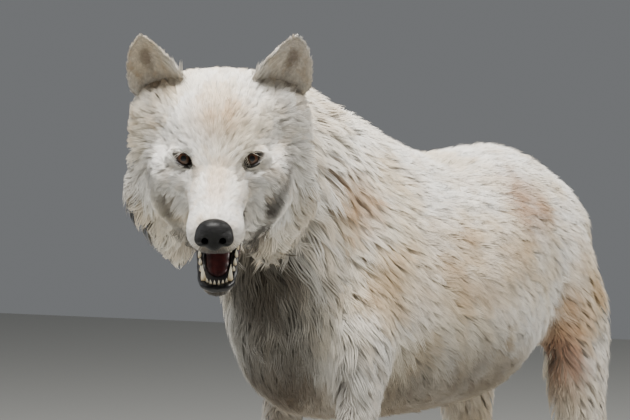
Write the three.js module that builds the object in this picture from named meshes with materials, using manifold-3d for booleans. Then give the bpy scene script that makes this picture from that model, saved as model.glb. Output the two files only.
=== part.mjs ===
// A standing arctic wolf, life size, with its head turned to its left and its mouth a little open.
//
// Millimetres, +Z up. The wolf faces -Y and its left side is +X, and it stands on z = 0.
// Each solid reaches out to the tips of the coat. Trunk, neck, legs and tail are ladders of ovals
// whose rungs state the outline. The head is a blend of rounded masses, found ring by ring.

import * as THREE from "three";
import { mergeVertices } from "three/addons/utils/BufferGeometryUtils.js";
import Module from "manifold-3d";

const wasm = await Module();
wasm.setup();

// ---------------------------------------------------------------- driving dimensions

const GAP = 0.3; // clearance that parts keep where they meet
const FORE_STAND = { left: -316, right: -219 }; // y of each foreleg
const HIND_STEP = { left: 0, right: -60 }; // how far each hind foot stands forward of its place

const EYES_AT = [67, -590, 713]; // the point midway between the eyes
const HEAD_YAW = 31; // degrees, towards the left side
const HEAD_PITCH = 20; // degrees, muzzle down
const JAW_OPEN = 18; // degrees
const JAW_HINGE = { y: 45, z: -35 }; // in the head's frame
const HEAD_BACK = 110; // how far behind the eyes the head ends and the neck begins

// The left eye and the hollow in front of it, and the nose pad with its left nostril, in the
// head's frame: centre and half sizes.
const EYE = { at: [36.5, 1, 0], size: [12.5, 12.5, 12.5] };
const EYE_WINDOW = { at: [38.5, -13, -0.5], size: [14, 13, 9.5] };
const NOSE_PAD = { at: [0, -139, -34], size: [20.5, 15, 15.5] };
const NOSTRIL = { at: [10.5, -151, -37], size: [5, 8, 4] };

const TRUNK_SIDES = 22;
const HEAD_SIDES = 28;
const JAW_SIDES = 14;
const LEG_SIDES = 12;
const TAIL_SIDES = 12;
const PAW_SIDES = 10;

// Rungs of the trunk, chest to rump: top y, z | bottom y, z | half width | height of the widest
// line, as a share of the rung | sharpness of the back | sharpness of the belly.
const TRUNK_RUNGS = [
  [-215, 776, -399, 470, 92, 0.43, 1.1, 1.0],
  [-196, 773, -359, 421, 100, 0.42, 1.12, 0.97],
  [-172, 766, -297, 395, 110, 0.42, 1.14, 0.92],
  [-135, 752, -215, 385, 121, 0.43, 1.16, 0.86],
  [-65, 729, -115, 381, 131, 0.45, 1.14, 0.82],
  [10, 721, -5, 384, 133, 0.46, 1.1, 0.8],
  [90, 728, 95, 390, 124, 0.48, 1.06, 0.8],
  [160, 732, 175, 415, 112, 0.52, 1.08, 0.82],
  [228, 728, 245, 449, 105, 0.54, 1.14, 0.86],
  [290, 711, 308, 484, 97, 0.54, 1.18, 0.92],
  [340, 688, 356, 514, 84, 0.54, 1.15, 0.95],
  [378, 655, 388, 548, 60, 0.54, 1.05, 1.0],
  [398, 615, 404, 584, 24, 0.54, 1.0, 1.0],
];
const TRUNK_RINGS = 22;

// Rungs of the neck between the head and the trunk: top x, y, z | bottom x, y, z | half width |
// turn in degrees | height of the widest line | sharpness of the nape | sharpness of the throat.
const NECK_RUNGS = [
  [12, -420, 811, 9, -436, 590, 84, 17, 0.45, 1.0, 1.1],
  [0, -320, 805, 8, -424, 528, 87, 4, 0.45, 1.05, 1.1],
];
// The neck's end at the head, as heights in the head's frame.
const NECK_HEAD_END = { top: 66, bottom: -120, half: 88 };
const NECK_RINGS = 8;

// Rings of a leg, hip or shoulder downwards: x | y | z | half width | half depth.
const FORELEG_RINGS = [
  [70, 32, 574, 24, 42],
  [80, 26, 536, 29, 54],
  [84, 20, 500, 32, 58],
  [85, 16, 460, 31, 52],
  [83, 10, 425, 28, 40],
  [82, 4, 392, 26, 32],
  [80, 0, 340, 25, 29],
  [78, -2, 270, 24, 27],
  [77, -3, 205, 22, 24],
  [77, -4, 168, 24, 26],
  [77, -5, 130, 22.5, 24],
  [77, -9, 92, 23, 25],
  [77, -15, 62, 26, 29],
];
const HINDLEG_RINGS = [
  [50, 216, 668, 22, 40],
  [70, 232, 636, 30, 62],
  [78, 255, 585, 34, 78],
  [82, 279, 535, 36, 84],
  [84, 297, 482, 36, 88],
  [86, 294, 430, 36, 81],
  [87, 292, 384, 34, 70],
  [88, 300, 341, 31, 59],
  [88, 322, 298, 27, 47],
  [87, 352, 252, 23, 37],
  [86, 380, 214, 21, 32],
  [86, 391, 186, 20.5, 27],
  [86, 388, 136, 19.5, 23],
  [86, 381, 94, 21, 24],
  [86, 374, 62, 24, 28],
];
const LEG_END = 62; // height where a leg meets its paw
const LEG_STEPS = 17;

// Rings of a paw, top to sole: forward offset | z | half width | half depth.
const PAW_RINGS = [
  [0, 62, 26, 30],
  [-10, 46, 32, 39],
  [-17, 28, 38, 45],
  [-18, 10, 39, 46],
  [-18, 0, 35, 42],
];
const TOES = [
  // side | forward | half width | half length | half height
  { at: [-29, -38], size: [13.5, 25, 17] },
  { at: [-10.5, -57], size: [13, 27, 18.5] },
  { at: [10.5, -57], size: [13, 27, 18.5] },
  { at: [29, -38], size: [13.5, 25, 17] },
];
const TOE_HEIGHT = 14; // of a toe's middle
const CLAW = { length: 19, radius: 4.2, along: [0, -0.92, -0.4], set: 7, height: 16 };
const HIND_PAW_SCALE = 0.92;

// Rings of the tail, root to tip: y | z | radius.
const TAIL_RINGS = [
  [340, 655, 20],
  [378, 638, 32],
  [404, 600, 41],
  [424, 548, 49],
  [446, 480, 54],
  [456, 410, 54],
  [455, 350, 43],
  [450, 300, 25],
  [447, 278, 7],
];
const TAIL_STEPS = 13;

// The head's masses: centre and half sizes, mirrored where x isn't 0. Its frame lies midway
// between the eyes, x to the left, -y towards the nose, z up.
const HEAD_MASSES = {
  cranium: { at: [0, 60, 22], size: [64, 80, 56] },
  forehead: { at: [0, 14, 4], size: [43, 44, 27] },
  brow: { at: [28, 0, 13], size: [15, 17, 10] },
  crown: { at: [33, 74, 48], size: [30, 32, 28] },
  earRoot: { at: [68, 80, 28], size: [34, 34, 36] },
  temple: { at: [63, 80, -12], size: [44, 40, 54] },
  cheekbone: { at: [50, 30, -22], size: [29, 45, 27] },
  jawMuscle: { at: [40, 44, -52], size: [42, 52, 44] },
  ruff: { at: [70, 88, -70], size: [45, 33, 63] },
  ruffTip: { at: [53, 86, -122], size: [27, 28, 49] },
  throat: { at: [0, 74, -84], size: [68, 58, 42] },
  nape: { at: [0, 108, -27], size: [88, 70, 92] },
  lipPad: { at: [14, -104, -46], size: [17, 27, 17] },
};
const MUZZLE = { from: [0, -12, -29], to: [0, -122, -38], thick: [36, 24] };
const HEAD_BLEND = 16; // how softly the masses run into each other
const HEAD_AXIS = { back: -28, front: -37 }; // height of the line that the rings turn about
const HEAD_STATIONS = [
  HEAD_BACK, 103, 94, 83, 71, 58, 46, 36, 27, 19, 11, 3, -5, -13, -23, -36, -52, -70, -88, -103, -115,
];
const MUZZLE_TILTS = [22, 44, 66]; // degrees, of the rings that close the muzzle's end

// The lower jaw when shut, throat to chin: y | top z | bottom z | half width.
const JAW_RUNGS = [
  [28, -52, -92, 34],
  [0, -57, -97, 32],
  [-32, -61, -96, 27],
  [-64, -62.5, -92, 23.5],
  [-92, -62, -88, 21],
  [-108, -62, -85, 18],
  [-116, -64, -80, 11],
];
const JAW_STEPS = 11;
const PALATE = { at: [0, -56, -62], size: [18, 62, 13] };
const GULLET = { at: [0, -2, -78], size: [21, 34, 20] };
const MOUTH_FLOOR = { at: [0, -58, -60], size: [16.5, 50, 10] };
const TONGUE = { at: [0, -56, -60.5], size: [14, 46, 8] };
// Teeth: root, length and radius. The lower ones are placed with the jaw shut.
const UPPER_CANINE = { root: [15.5, -103, -50], length: 24, radius: 4.6 };
const LOWER_CANINE = { root: [14, -98, -68], length: 24, radius: 4.4 };
const LOWER_INCISORS = [
  { root: [2.6, -107.7, -68], length: 12, radius: 2.6 },
  { root: [7.2, -105.4, -68], length: 12, radius: 2.6 },
];

// An ear, root to tip: side | back | height of its middle line, then half width and cup depth.
const EAR_RUNGS = [
  [56, 82, 22, 32, 20],
  [59, 80, 42, 38, 22],
  [64, 76, 62, 38, 21],
  [71.5, 70, 84, 31.5, 16],
  [79, 64, 105, 20.5, 10],
  [83, 60, 118, 10, 5],
  [85, 58.5, 124, 4, 2],
];
const EAR_THICK = 7;
const EAR_TURN = 16; // degrees, how far the opening faces outwards
const EAR_STEPS = 11;
const EAR_ACROSS = 7; // spans across the cup

// ---------------------------------------------------------------- colours

const finish = (color, roughness) =>
  new THREE.MeshStandardMaterial({ color, roughness, metalness: 0 });
const WHITE_COAT = finish("#e2dacd", 0.9);
const WARM_COAT = finish("#d9cab6", 0.9);
const LEATHER = finish("#1d1b1c", 0.45);
const IRIS = finish("#6b3d1e", 0.1);
const TONGUE_SKIN = finish("#6a2d30", 0.5);

// ---------------------------------------------------------------- shape tools

const radians = THREE.MathUtils.degToRad;
const vector = (values) => new THREE.Vector3(...values);

// The row at place t of a table, where whole numbers are its own rows and a smooth curve runs between.
function rowAt(rows, t) {
  const i = Math.min(Math.floor(t), rows.length - 2);
  const f = t - i;
  const [a, b, c, d] = [-1, 0, 1, 2].map(
    (k) => rows[Math.min(Math.max(i + k, 0), rows.length - 1)],
  );
  return b.map((value, k) => {
    const slope = c[k] - a[k];
    const bend = 2 * a[k] - 5 * value + 4 * c[k] - d[k];
    const twist = 3 * value - a[k] - 3 * c[k] + d[k];
    return value + 0.5 * (slope * f + bend * f * f + twist * f ** 3);
  });
}

function resample(rows, count) {
  return Array.from({ length: count }, (_, k) => rowAt(rows, (k / (count - 1)) * (rows.length - 1)));
}

// One oval ring. widest is the point its widest line passes through, roof and keel the distances
// to its top and bottom along up. A sharpness over 1 draws that half in towards a ridge.
function oval({ widest, side, up, half, roof, keel, roofSharp = 1, keelSharp = 1, sides }) {
  return Array.from({ length: sides }, (_, k) => {
    const angle = (2 * Math.PI * (k + 0.5)) / sides;
    const c = Math.cos(angle);
    const s = Math.sin(angle);
    const sharp = s > 0 ? roofSharp : keelSharp;
    return widest
      .clone()
      .addScaledVector(side, half * Math.sign(c) * Math.abs(c) ** sharp)
      .addScaledVector(up, (s > 0 ? roof : keel) * Math.sign(s) * Math.abs(s) ** sharp);
  });
}

// A closed body over rings of equal length, with a fan from the middle of each end ring.
function bodyOver(rings) {
  const n = rings[0].length;
  const middle = (ring) =>
    ring.reduce((sum, p) => sum.add(p), new THREE.Vector3()).divideScalar(n);
  const points = [...rings.flat(), middle(rings[0]), middle(rings.at(-1))];
  const first = rings.length * n;
  const faces = [];
  for (let k = 0; k < n; k++) {
    const next = (k + 1) % n;
    faces.push([first, next, k]);
    const end = (rings.length - 1) * n;
    faces.push([first + 1, end + k, end + next]);
    for (let r = 0; r + 1 < rings.length; r++) {
      const [a, b, c, d] = [r * n + k, r * n + next, (r + 1) * n + next, (r + 1) * n + k];
      faces.push([a, b, c], [a, c, d]);
    }
  }
  return facingOut(points, faces);
}

function facingOut(points, faces) {
  const volume = faces.reduce(
    (sum, [a, b, c]) => sum + points[a].dot(points[b].clone().cross(points[c])),
    0,
  );
  const index = faces.flatMap(([a, b, c]) => (volume > 0 ? [a, b, c] : [a, c, b]));
  const geometry = new THREE.BufferGeometry().setFromPoints(points);
  geometry.setIndex(index);
  return geometry;
}

function ellipsoid({ at, size }, across, down) {
  return new THREE.SphereGeometry(1, across, down).scale(...size).translate(...at);
}

// An ellipsoid stated for the left side, put on either side and grown all round.
const onSide = ({ at, size }, side, grow = 0) => ({
  at: [side * at[0], at[1], at[2]],
  size: size.map((value) => value + grow),
});

function spike(base, tip, radius) {
  const along = tip.clone().sub(base);
  return new THREE.ConeGeometry(radius, along.length(), 5)
    .translate(0, along.length() / 2, 0)
    .applyQuaternion(
      new THREE.Quaternion().setFromUnitVectors(new THREE.Vector3(0, 1, 0), along.normalize()),
    )
    .translate(...base);
}

function solid(geometry) {
  const bare = geometry.clone();
  bare.deleteAttribute("normal");
  bare.deleteAttribute("uv");
  const merged = mergeVertices(bare, 1e-4);
  return new wasm.Manifold(
    new wasm.Mesh({
      numProp: 3,
      vertProperties: merged.attributes.position.array,
      triVerts: new Uint32Array(merged.index.array),
    }),
  );
}

function geometryOf(body) {
  const { vertProperties, triVerts } = body.getMesh();
  const geometry = new THREE.BufferGeometry();
  geometry.setAttribute("position", new THREE.BufferAttribute(vertProperties, 3));
  geometry.setIndex(new THREE.BufferAttribute(triVerts, 1));
  return geometry;
}

// The largest of the separate bodies that a cut leaves.
function mainBody(body) {
  return body.decompose().sort((a, b) => b.volume() - a.volume())[0];
}

function piece(name, geometry, material) {
  const mesh = new THREE.Mesh(geometry, material);
  mesh.geometry.computeVertexNormals();
  mesh.name = name;
  return mesh;
}

// ---------------------------------------------------------------- head

const headFrame = new THREE.Group();
headFrame.position.set(...EYES_AT);
headFrame.rotation.set(radians(HEAD_PITCH), 0, radians(HEAD_YAW), "ZXY");
headFrame.updateMatrixWorld(true);
const fromHead = (x, y, z) => new THREE.Vector3(x, y, z).applyMatrix4(headFrame.matrixWorld);

function outsideEllipsoid(p, at, size) {
  const scaled = [0, 1, 2].map((k) => (p.getComponent(k) - at[k]) / size[k]);
  const length = Math.hypot(...scaled);
  const slope = Math.hypot(...scaled.map((value, k) => value / size[k]));
  return slope < 1e-9 ? -Math.min(...size) : (length * (length - 1)) / slope;
}

function outsideMuzzle(p) {
  const from = vector(MUZZLE.from);
  const line = vector(MUZZLE.to).sub(from);
  const t = THREE.MathUtils.clamp(p.clone().sub(from).dot(line) / line.lengthSq(), 0, 1);
  const radius = THREE.MathUtils.lerp(...MUZZLE.thick, t);
  return p.distanceTo(from.addScaledVector(line, t)) - radius;
}

// Distance outside the head's surface, negative within it.
function outsideHead(p) {
  const onLeft = new THREE.Vector3(Math.abs(p.x), p.y, p.z);
  let nearest = outsideMuzzle(p);
  for (const { at, size } of Object.values(HEAD_MASSES)) {
    const d = outsideEllipsoid(onLeft, at, size);
    const overlap = Math.max(HEAD_BLEND - Math.abs(nearest - d), 0);
    nearest = Math.min(nearest, d) - (overlap * overlap) / (4 * HEAD_BLEND);
  }
  return nearest;
}

function surfaceFrom(origin, direction, grow) {
  const stride = 4;
  const at = (length) => origin.clone().addScaledVector(direction, length);
  let near = 0;
  while (outsideHead(at(near + stride)) < grow) near += stride;
  let far = near + stride;
  for (let k = 0; k < 12; k++) {
    const half = (near + far) / 2;
    if (outsideHead(at(half)) < grow) near = half;
    else far = half;
  }
  return at(near);
}

// A ring of the head about its axis at y, each ray tilted towards the nose.
function headRing(y, grow, tilt = 0) {
  const share = (HEAD_BACK - y) / (HEAD_BACK - HEAD_STATIONS.at(-1));
  const origin = new THREE.Vector3(
    0,
    y,
    THREE.MathUtils.lerp(HEAD_AXIS.back, HEAD_AXIS.front, share),
  );
  return Array.from({ length: HEAD_SIDES }, (_, k) => {
    const angle = (2 * Math.PI * (k + 0.5)) / HEAD_SIDES;
    const ray = new THREE.Vector3(
      Math.cos(angle) * Math.cos(tilt),
      -Math.sin(tilt),
      Math.sin(angle) * Math.cos(tilt),
    );
    return surfaceFrom(origin, ray, grow);
  });
}

// The head without its sockets, and with its upper teeth.
function muzzleAndSkull(grow = 0) {
  const end = HEAD_STATIONS.at(-1);
  const rings = [
    ...HEAD_STATIONS.map((y) => headRing(y, grow)),
    ...MUZZLE_TILTS.map((tilt) => headRing(end, grow, radians(tilt))),
  ];
  let body = solid(bodyOver(rings))
    .subtract(solid(ellipsoid(onSide(PALATE, 1, -grow), 14, 10)))
    .subtract(solid(ellipsoid(onSide(GULLET, 1, -grow), 12, 8)));
  for (const side of [1, -1]) body = body.add(solid(upperCanine(side, grow)));
  return body;
}

function head() {
  let body = muzzleAndSkull();
  for (const side of [1, -1]) {
    body = body
      .subtract(solid(ellipsoid(onSide(EYE, side, GAP), 14, 10)))
      .subtract(solid(ellipsoid(onSide(EYE_WINDOW, side), 14, 8)));
  }
  return mainBody(body);
}

const eyeball = (side) => ellipsoid(onSide(EYE, side), 14, 10);

function upperCanine(side, grow) {
  const { root, length, radius } = UPPER_CANINE;
  const base = new THREE.Vector3(side * root[0], root[1], root[2]);
  return spike(base, base.clone().add(new THREE.Vector3(0, -2, -length - grow)), radius + grow);
}

function nose() {
  let pad = solid(ellipsoid(NOSE_PAD, 14, 8));
  for (const side of [1, -1]) {
    pad = pad.subtract(solid(ellipsoid(onSide(NOSTRIL, side), 6, 5)));
  }
  return mainBody(pad.subtract(muzzleAndSkull(GAP)));
}

// ---------------------------------------------------------------- lower jaw and tongue

function lowerJaw() {
  const rings = resample(JAW_RUNGS, JAW_STEPS).map(([y, top, bottom, half]) =>
    oval({
      widest: new THREE.Vector3(0, y, (top * 2 + bottom) / 3),
      side: new THREE.Vector3(1, 0, 0),
      up: new THREE.Vector3(0, 0, 1),
      half,
      roof: (top - bottom) / 3,
      keel: ((top - bottom) * 2) / 3,
      roofSharp: 0.7,
      sides: JAW_SIDES,
    }),
  );
  let body = solid(bodyOver(rings)).subtract(solid(ellipsoid(MOUTH_FLOOR, 14, 8)));
  for (const tooth of lowerTeeth()) body = body.add(solid(tooth));
  return mainBody(opened(body).subtract(muzzleAndSkull(GAP)));
}

function lowerTeeth() {
  return [LOWER_CANINE, ...LOWER_INCISORS].flatMap(({ root, length, radius }) =>
    [1, -1].map((side) => {
      const base = new THREE.Vector3(side * root[0], root[1], root[2]);
      const lean = base.x * 0.08;
      return spike(base, base.clone().add(new THREE.Vector3(lean, 0, length)), radius);
    }),
  );
}

const jawTurn = new THREE.Matrix4()
  .makeTranslation(0, JAW_HINGE.y, JAW_HINGE.z)
  .multiply(new THREE.Matrix4().makeRotationX(radians(JAW_OPEN)))
  .multiply(new THREE.Matrix4().makeTranslation(0, -JAW_HINGE.y, -JAW_HINGE.z));

const opened = (body) => solid(geometryOf(body).applyMatrix4(jawTurn));

function tongue() {
  return mainBody(opened(solid(ellipsoid(TONGUE, 12, 8))).subtract(muzzleAndSkull(GAP)));
}

// ---------------------------------------------------------------- ears

// A leaf-shaped cup: each ring runs across its back and returns along its hollow front.
function ear(side) {
  const turn = radians(EAR_TURN);
  const rings = resample(EAR_RUNGS, EAR_STEPS).map(([x, y, z, half, cup], r) => {
    const thick = EAR_THICK * (1 - 0.55 * (r / (EAR_STEPS - 1)));
    const across = (share, forward) =>
      new THREE.Vector3(
        side * (x + share * half * Math.cos(turn) + forward * Math.sin(turn)),
        y + share * half * Math.sin(turn) - forward * Math.cos(turn),
        z,
      );
    const shares = Array.from({ length: EAR_ACROSS + 1 }, (_, k) => (2 * k) / EAR_ACROSS - 1);
    const arc = (share) => cup * (share * share - 0.5);
    return [
      ...shares.map((share) => across(share, arc(share) - thick / 2)),
      ...shares.reverse().map((share) => across(share * 0.94, arc(share) + thick / 2)),
    ];
  });
  return mainBody(solid(zipped(rings)).subtract(muzzleAndSkull(GAP)));
}

// Like bodyOver, but the end rings close straight across, as a bent ring's middle lies outside it.
function zipped(rings) {
  const n = rings[0].length;
  const points = rings.flat();
  const end = (rings.length - 1) * n;
  const faces = [];
  for (let k = 0; k < n; k++) {
    const next = (k + 1) % n;
    for (let r = 0; r + 1 < rings.length; r++) {
      const [a, b, c, d] = [r * n + k, r * n + next, (r + 1) * n + next, (r + 1) * n + k];
      faces.push([a, b, c], [a, c, d]);
    }
  }
  for (let k = 0; k + 1 < n / 2; k++) {
    const [a, b, c, d] = [k, k + 1, n - 2 - k, n - 1 - k];
    faces.push([a, c, b], [a, d, c]);
    faces.push([end + a, end + b, end + c], [end + a, end + c, end + d]);
  }
  return facingOut(points, faces);
}

// ---------------------------------------------------------------- neck and trunk

const ACROSS = new THREE.Vector3(1, 0, 0);

function rungOval(row, grow) {
  const [topX, topY, topZ, bottomX, bottomY, bottomZ, half, turn, widest, roofSharp, keelSharp] = row;
  const top = new THREE.Vector3(topX, topY, topZ);
  const bottom = new THREE.Vector3(bottomX, bottomY, bottomZ);
  const up = top.clone().sub(bottom);
  const height = up.length();
  return oval({
    widest: bottom.clone().lerp(top, widest),
    side: new THREE.Vector3(Math.cos(radians(turn)), Math.sin(radians(turn)), 0),
    up: up.normalize(),
    half: half + grow,
    roof: height * (1 - widest) + grow,
    keel: height * widest + grow,
    roofSharp,
    keelSharp,
    sides: TRUNK_SIDES,
  });
}

const trunkRow = ([topY, topZ, bottomY, bottomZ, half, ...rest]) => [
  0, topY, topZ, 0, bottomY, bottomZ, half, 0, ...rest,
];

function trunk(grow = 0) {
  const rows = resample(TRUNK_RUNGS.map(trunkRow), TRUNK_RINGS);
  return solid(bodyOver(rows.map((row) => rungOval(row, grow))));
}

// The neck runs from the flat back of the head, whose turn it takes up, to the trunk's first rung.
// A grown neck, which cuts the legs, reaches into the trunk so that it leaves no fin between them.
function neck(grow = 0) {
  const { top, bottom, half } = NECK_HEAD_END;
  const back = HEAD_BACK + GAP;
  const headRow = [
    ...fromHead(0, back, top), ...fromHead(0, back, bottom), half, HEAD_YAW, 0.45, 0.95, 0.95,
  ];
  const [topY, topZ, bottomY, bottomZ, ...rest] = TRUNK_RUNGS[0];
  const shift = grow > 0 ? 4 * GAP : -1.3 * GAP;
  const trunkEnd = trunkRow([topY + shift, topZ, bottomY + shift, bottomZ, ...rest]);
  const rows = resample([headRow, ...NECK_RUNGS, trunkEnd], NECK_RINGS);
  const whole = solid(bodyOver(rows.map((row) => rungOval(row, grow))));
  if (grow > 0) return whole;
  return mainBody(whole.subtract(muzzleAndSkull(GAP).transform(headFrame.matrixWorld.elements)));
}

// ---------------------------------------------------------------- legs, paws and tail

function uprightRing([x, y, z, halfWidth, halfDepth], side, sides) {
  return oval({
    widest: new THREE.Vector3(side * x, y, z),
    side: ACROSS,
    up: new THREE.Vector3(0, 1, 0),
    half: halfWidth,
    roof: halfDepth,
    keel: halfDepth,
    roofSharp: 0.95,
    keelSharp: 0.95,
    sides,
  });
}

// A leg whose rings are moved by shiftAt, a length along y for each height.
function leg(rings, side, shiftAt) {
  const rows = resample(rings, LEG_STEPS).map(([x, y, z, ...halves]) => [
    x, y + shiftAt(z), z, ...halves,
  ]);
  const whole = solid(bodyOver(rows.map((row) => uprightRing(row, side, LEG_SIDES))));
  return mainBody(whole.subtract(trunk(GAP)).subtract(neck(GAP)));
}

function paw(x, y, scale) {
  const stack = PAW_RINGS.map(([offset, z, halfWidth, halfDepth]) =>
    uprightRing([0, offset, z, halfWidth, halfDepth], 1, PAW_SIDES),
  );
  let body = solid(bodyOver(stack));
  for (const { at, size } of TOES) {
    body = body.add(solid(ellipsoid({ at: [...at, TOE_HEIGHT], size }, 8, 5)));
    const root = new THREE.Vector3(at[0], at[1] - size[1] + CLAW.set, CLAW.height);
    const tip = root.clone().addScaledVector(vector(CLAW.along), CLAW.length);
    body = body.add(solid(spike(root, tip, CLAW.radius)));
  }
  const ground = new THREE.BoxGeometry(400, 400, 100).translate(0, 0, -50);
  const placed = geometryOf(body.subtract(solid(ground)))
    .scale(scale, scale, (LEG_END - GAP) / PAW_RINGS[0][1])
    .translate(x, y, 0);
  return solid(placed);
}

function tail() {
  const rows = resample(TAIL_RINGS, TAIL_STEPS);
  const rings = rows.map(([y, z, radius], k) => {
    const before = rows[Math.max(k - 1, 0)];
    const after = rows[Math.min(k + 1, rows.length - 1)];
    const along = new THREE.Vector3(0, after[0] - before[0], after[1] - before[1]).normalize();
    return oval({
      widest: new THREE.Vector3(0, y, z),
      side: ACROSS,
      up: along.cross(ACROSS),
      half: radius * 0.92,
      roof: radius,
      keel: radius,
      sides: TAIL_SIDES,
    });
  });
  return mainBody(solid(bodyOver(rings)).subtract(trunk(GAP)));
}

// ---------------------------------------------------------------- the whole wolf

const wolf = new THREE.Group();

headFrame.add(
  piece("head", geometryOf(head()), WHITE_COAT),
  piece("jaw", geometryOf(lowerJaw()), WHITE_COAT),
  piece("nose", geometryOf(nose()), LEATHER),
  piece("tongue", geometryOf(tongue()), TONGUE_SKIN),
);
wolf.add(headFrame);
wolf.add(piece("neck", geometryOf(neck()), WHITE_COAT));
wolf.add(piece("trunk", geometryOf(trunk()), WHITE_COAT));
wolf.add(piece("tail", geometryOf(tail()), WHITE_COAT));

for (const [name, side] of [["left", 1], ["right", -1]]) {
  headFrame.add(
    piece("ear_" + name, geometryOf(ear(side)), WARM_COAT),
    piece("eye_" + name, eyeball(side), IRIS),
  );

  const foreY = FORE_STAND[name];
  const [foreX, foreEnd] = FORELEG_RINGS.at(-1);
  wolf.add(
    piece("leg_fore_" + name, geometryOf(leg(FORELEG_RINGS, side, () => foreY)), WHITE_COAT),
    piece("paw_fore_" + name, geometryOf(paw(side * foreX, foreY + foreEnd, 1)), WHITE_COAT),
  );

  // The hind foot steps forward by a share that grows from the stifle to the ground.
  const step = HIND_STEP[name];
  const stepAt = (z) => step * THREE.MathUtils.smoothstep(430 - z, 0, 430);
  const [hindX, hindEnd] = HINDLEG_RINGS.at(-1);
  const hindY = hindEnd + stepAt(LEG_END);
  wolf.add(
    piece("leg_hind_" + name, geometryOf(leg(HINDLEG_RINGS, side, stepAt)), WHITE_COAT),
    piece("paw_hind_" + name, geometryOf(paw(side * hindX, hindY, HIND_PAW_SCALE)), WHITE_COAT),
  );
}

// The middle of the whole wolf's box comes to stand over the origin.
const box = new THREE.Box3().setFromObject(wolf, true);
wolf.position.set(-(box.min.x + box.max.x) / 2, -(box.min.y + box.max.y) / 2, -box.min.z);

export default wolf;
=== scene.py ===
# %% [markdown]
# # Arctic wolf: the coat, the skin and the face
# The solids of the wolf come from the CAD source and reach out to the tips of
# its coat. Here the animal is dressed: one skin goes inside the solids by the
# depth of the coat, thousands of thin tufts lie over that skin the way the
# hair of a real wolf lies, and the eyes, the nose, the lips, the teeth and the
# claws are made as pieces of their own. The first step loads the solids.

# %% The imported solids
import itertools
import math
import bpy
import bmesh
import numpy as np
import openvdb
from mathutils import Matrix, Vector
from mathutils.kdtree import KDTree


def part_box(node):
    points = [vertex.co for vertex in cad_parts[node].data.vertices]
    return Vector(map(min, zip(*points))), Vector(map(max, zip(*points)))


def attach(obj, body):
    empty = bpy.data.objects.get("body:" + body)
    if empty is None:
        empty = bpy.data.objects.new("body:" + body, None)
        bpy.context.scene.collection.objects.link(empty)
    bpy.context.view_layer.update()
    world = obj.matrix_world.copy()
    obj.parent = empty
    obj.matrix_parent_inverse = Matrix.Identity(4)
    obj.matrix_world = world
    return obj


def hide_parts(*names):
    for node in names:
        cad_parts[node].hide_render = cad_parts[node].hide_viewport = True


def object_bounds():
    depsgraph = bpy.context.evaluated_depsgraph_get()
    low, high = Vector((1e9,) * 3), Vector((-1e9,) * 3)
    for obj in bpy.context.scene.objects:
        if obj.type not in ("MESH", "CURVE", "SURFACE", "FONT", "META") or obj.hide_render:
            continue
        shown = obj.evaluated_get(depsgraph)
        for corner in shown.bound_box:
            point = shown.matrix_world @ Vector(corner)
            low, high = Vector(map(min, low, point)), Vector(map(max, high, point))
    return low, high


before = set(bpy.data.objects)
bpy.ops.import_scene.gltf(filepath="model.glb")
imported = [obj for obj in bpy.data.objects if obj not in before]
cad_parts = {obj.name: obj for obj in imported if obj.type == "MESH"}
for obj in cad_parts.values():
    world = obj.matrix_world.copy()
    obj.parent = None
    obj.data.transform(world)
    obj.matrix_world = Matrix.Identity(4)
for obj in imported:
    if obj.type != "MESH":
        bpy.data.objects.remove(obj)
CAD_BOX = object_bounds()
MM = 0.001
print("solids", len(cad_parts), "box", [[round(c, 3) for c in p] for p in CAD_BOX])

# %% [markdown]
# ## Helpers for nodes and objects
# Every material and the sowing of the coat are built as node trees, so a few
# short helpers come first: one adds a node and feeds its sockets, and a Look
# is one Principled material with short ways to feed it colours and bump. All
# patterns are procedural and sit in object space, so nothing needs an image.

# %% Nodes, colours and materials
def add(tree, kind, settings=None, **links):
    """Add a node; keyword links name its input sockets."""
    node = tree.nodes.new(kind)
    for key, value in (settings or {}).items():
        setattr(node, key, value)
    for key, value in links.items():
        socket = node.inputs[int(key[1:]) if key[1:].isdigit() else key.replace("_", " ")]
        put(tree, socket, value)
    return node


def put(tree, socket, value):
    if isinstance(value, bpy.types.NodeSocket):
        tree.links.new(value, socket)
    elif isinstance(value, bpy.types.Node):
        tree.links.new(value.outputs[0], socket)
    else:
        socket.default_value = value


def maths(tree, operation, *values):
    node = add(tree, "ShaderNodeMath", {"operation": operation})
    for socket, value in zip(node.inputs, values):
        put(tree, socket, value)
    return node.outputs[0]


def vectors(tree, operation, *values):
    node = add(tree, "ShaderNodeVectorMath", {"operation": operation})
    for socket, value in zip(node.inputs, values):
        put(tree, socket, value)
    return node


def ramp01(tree, value, start, end, low=0.0, high=1.0):
    return add(tree, "ShaderNodeMapRange", {"interpolation_type": "SMOOTHSTEP"}, Value=value,
               From_Min=start, From_Max=end, To_Min=low, To_Max=high).outputs[0]


def mix(tree, factor, a, b, blend="MIX"):
    return add(tree, "ShaderNodeMix", {"data_type": "RGBA", "blend_type": blend},
               Factor=factor, i6=a, i7=b).outputs[2]


def paint(red, green, blue):
    """A colour given as seen on a screen, 0 to 255."""
    def line(value):
        value /= 255
        return value / 12.92 if value <= 0.04045 else ((value + 0.055) / 1.055) ** 2.4
    return (line(red), line(green), line(blue), 1)


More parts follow.
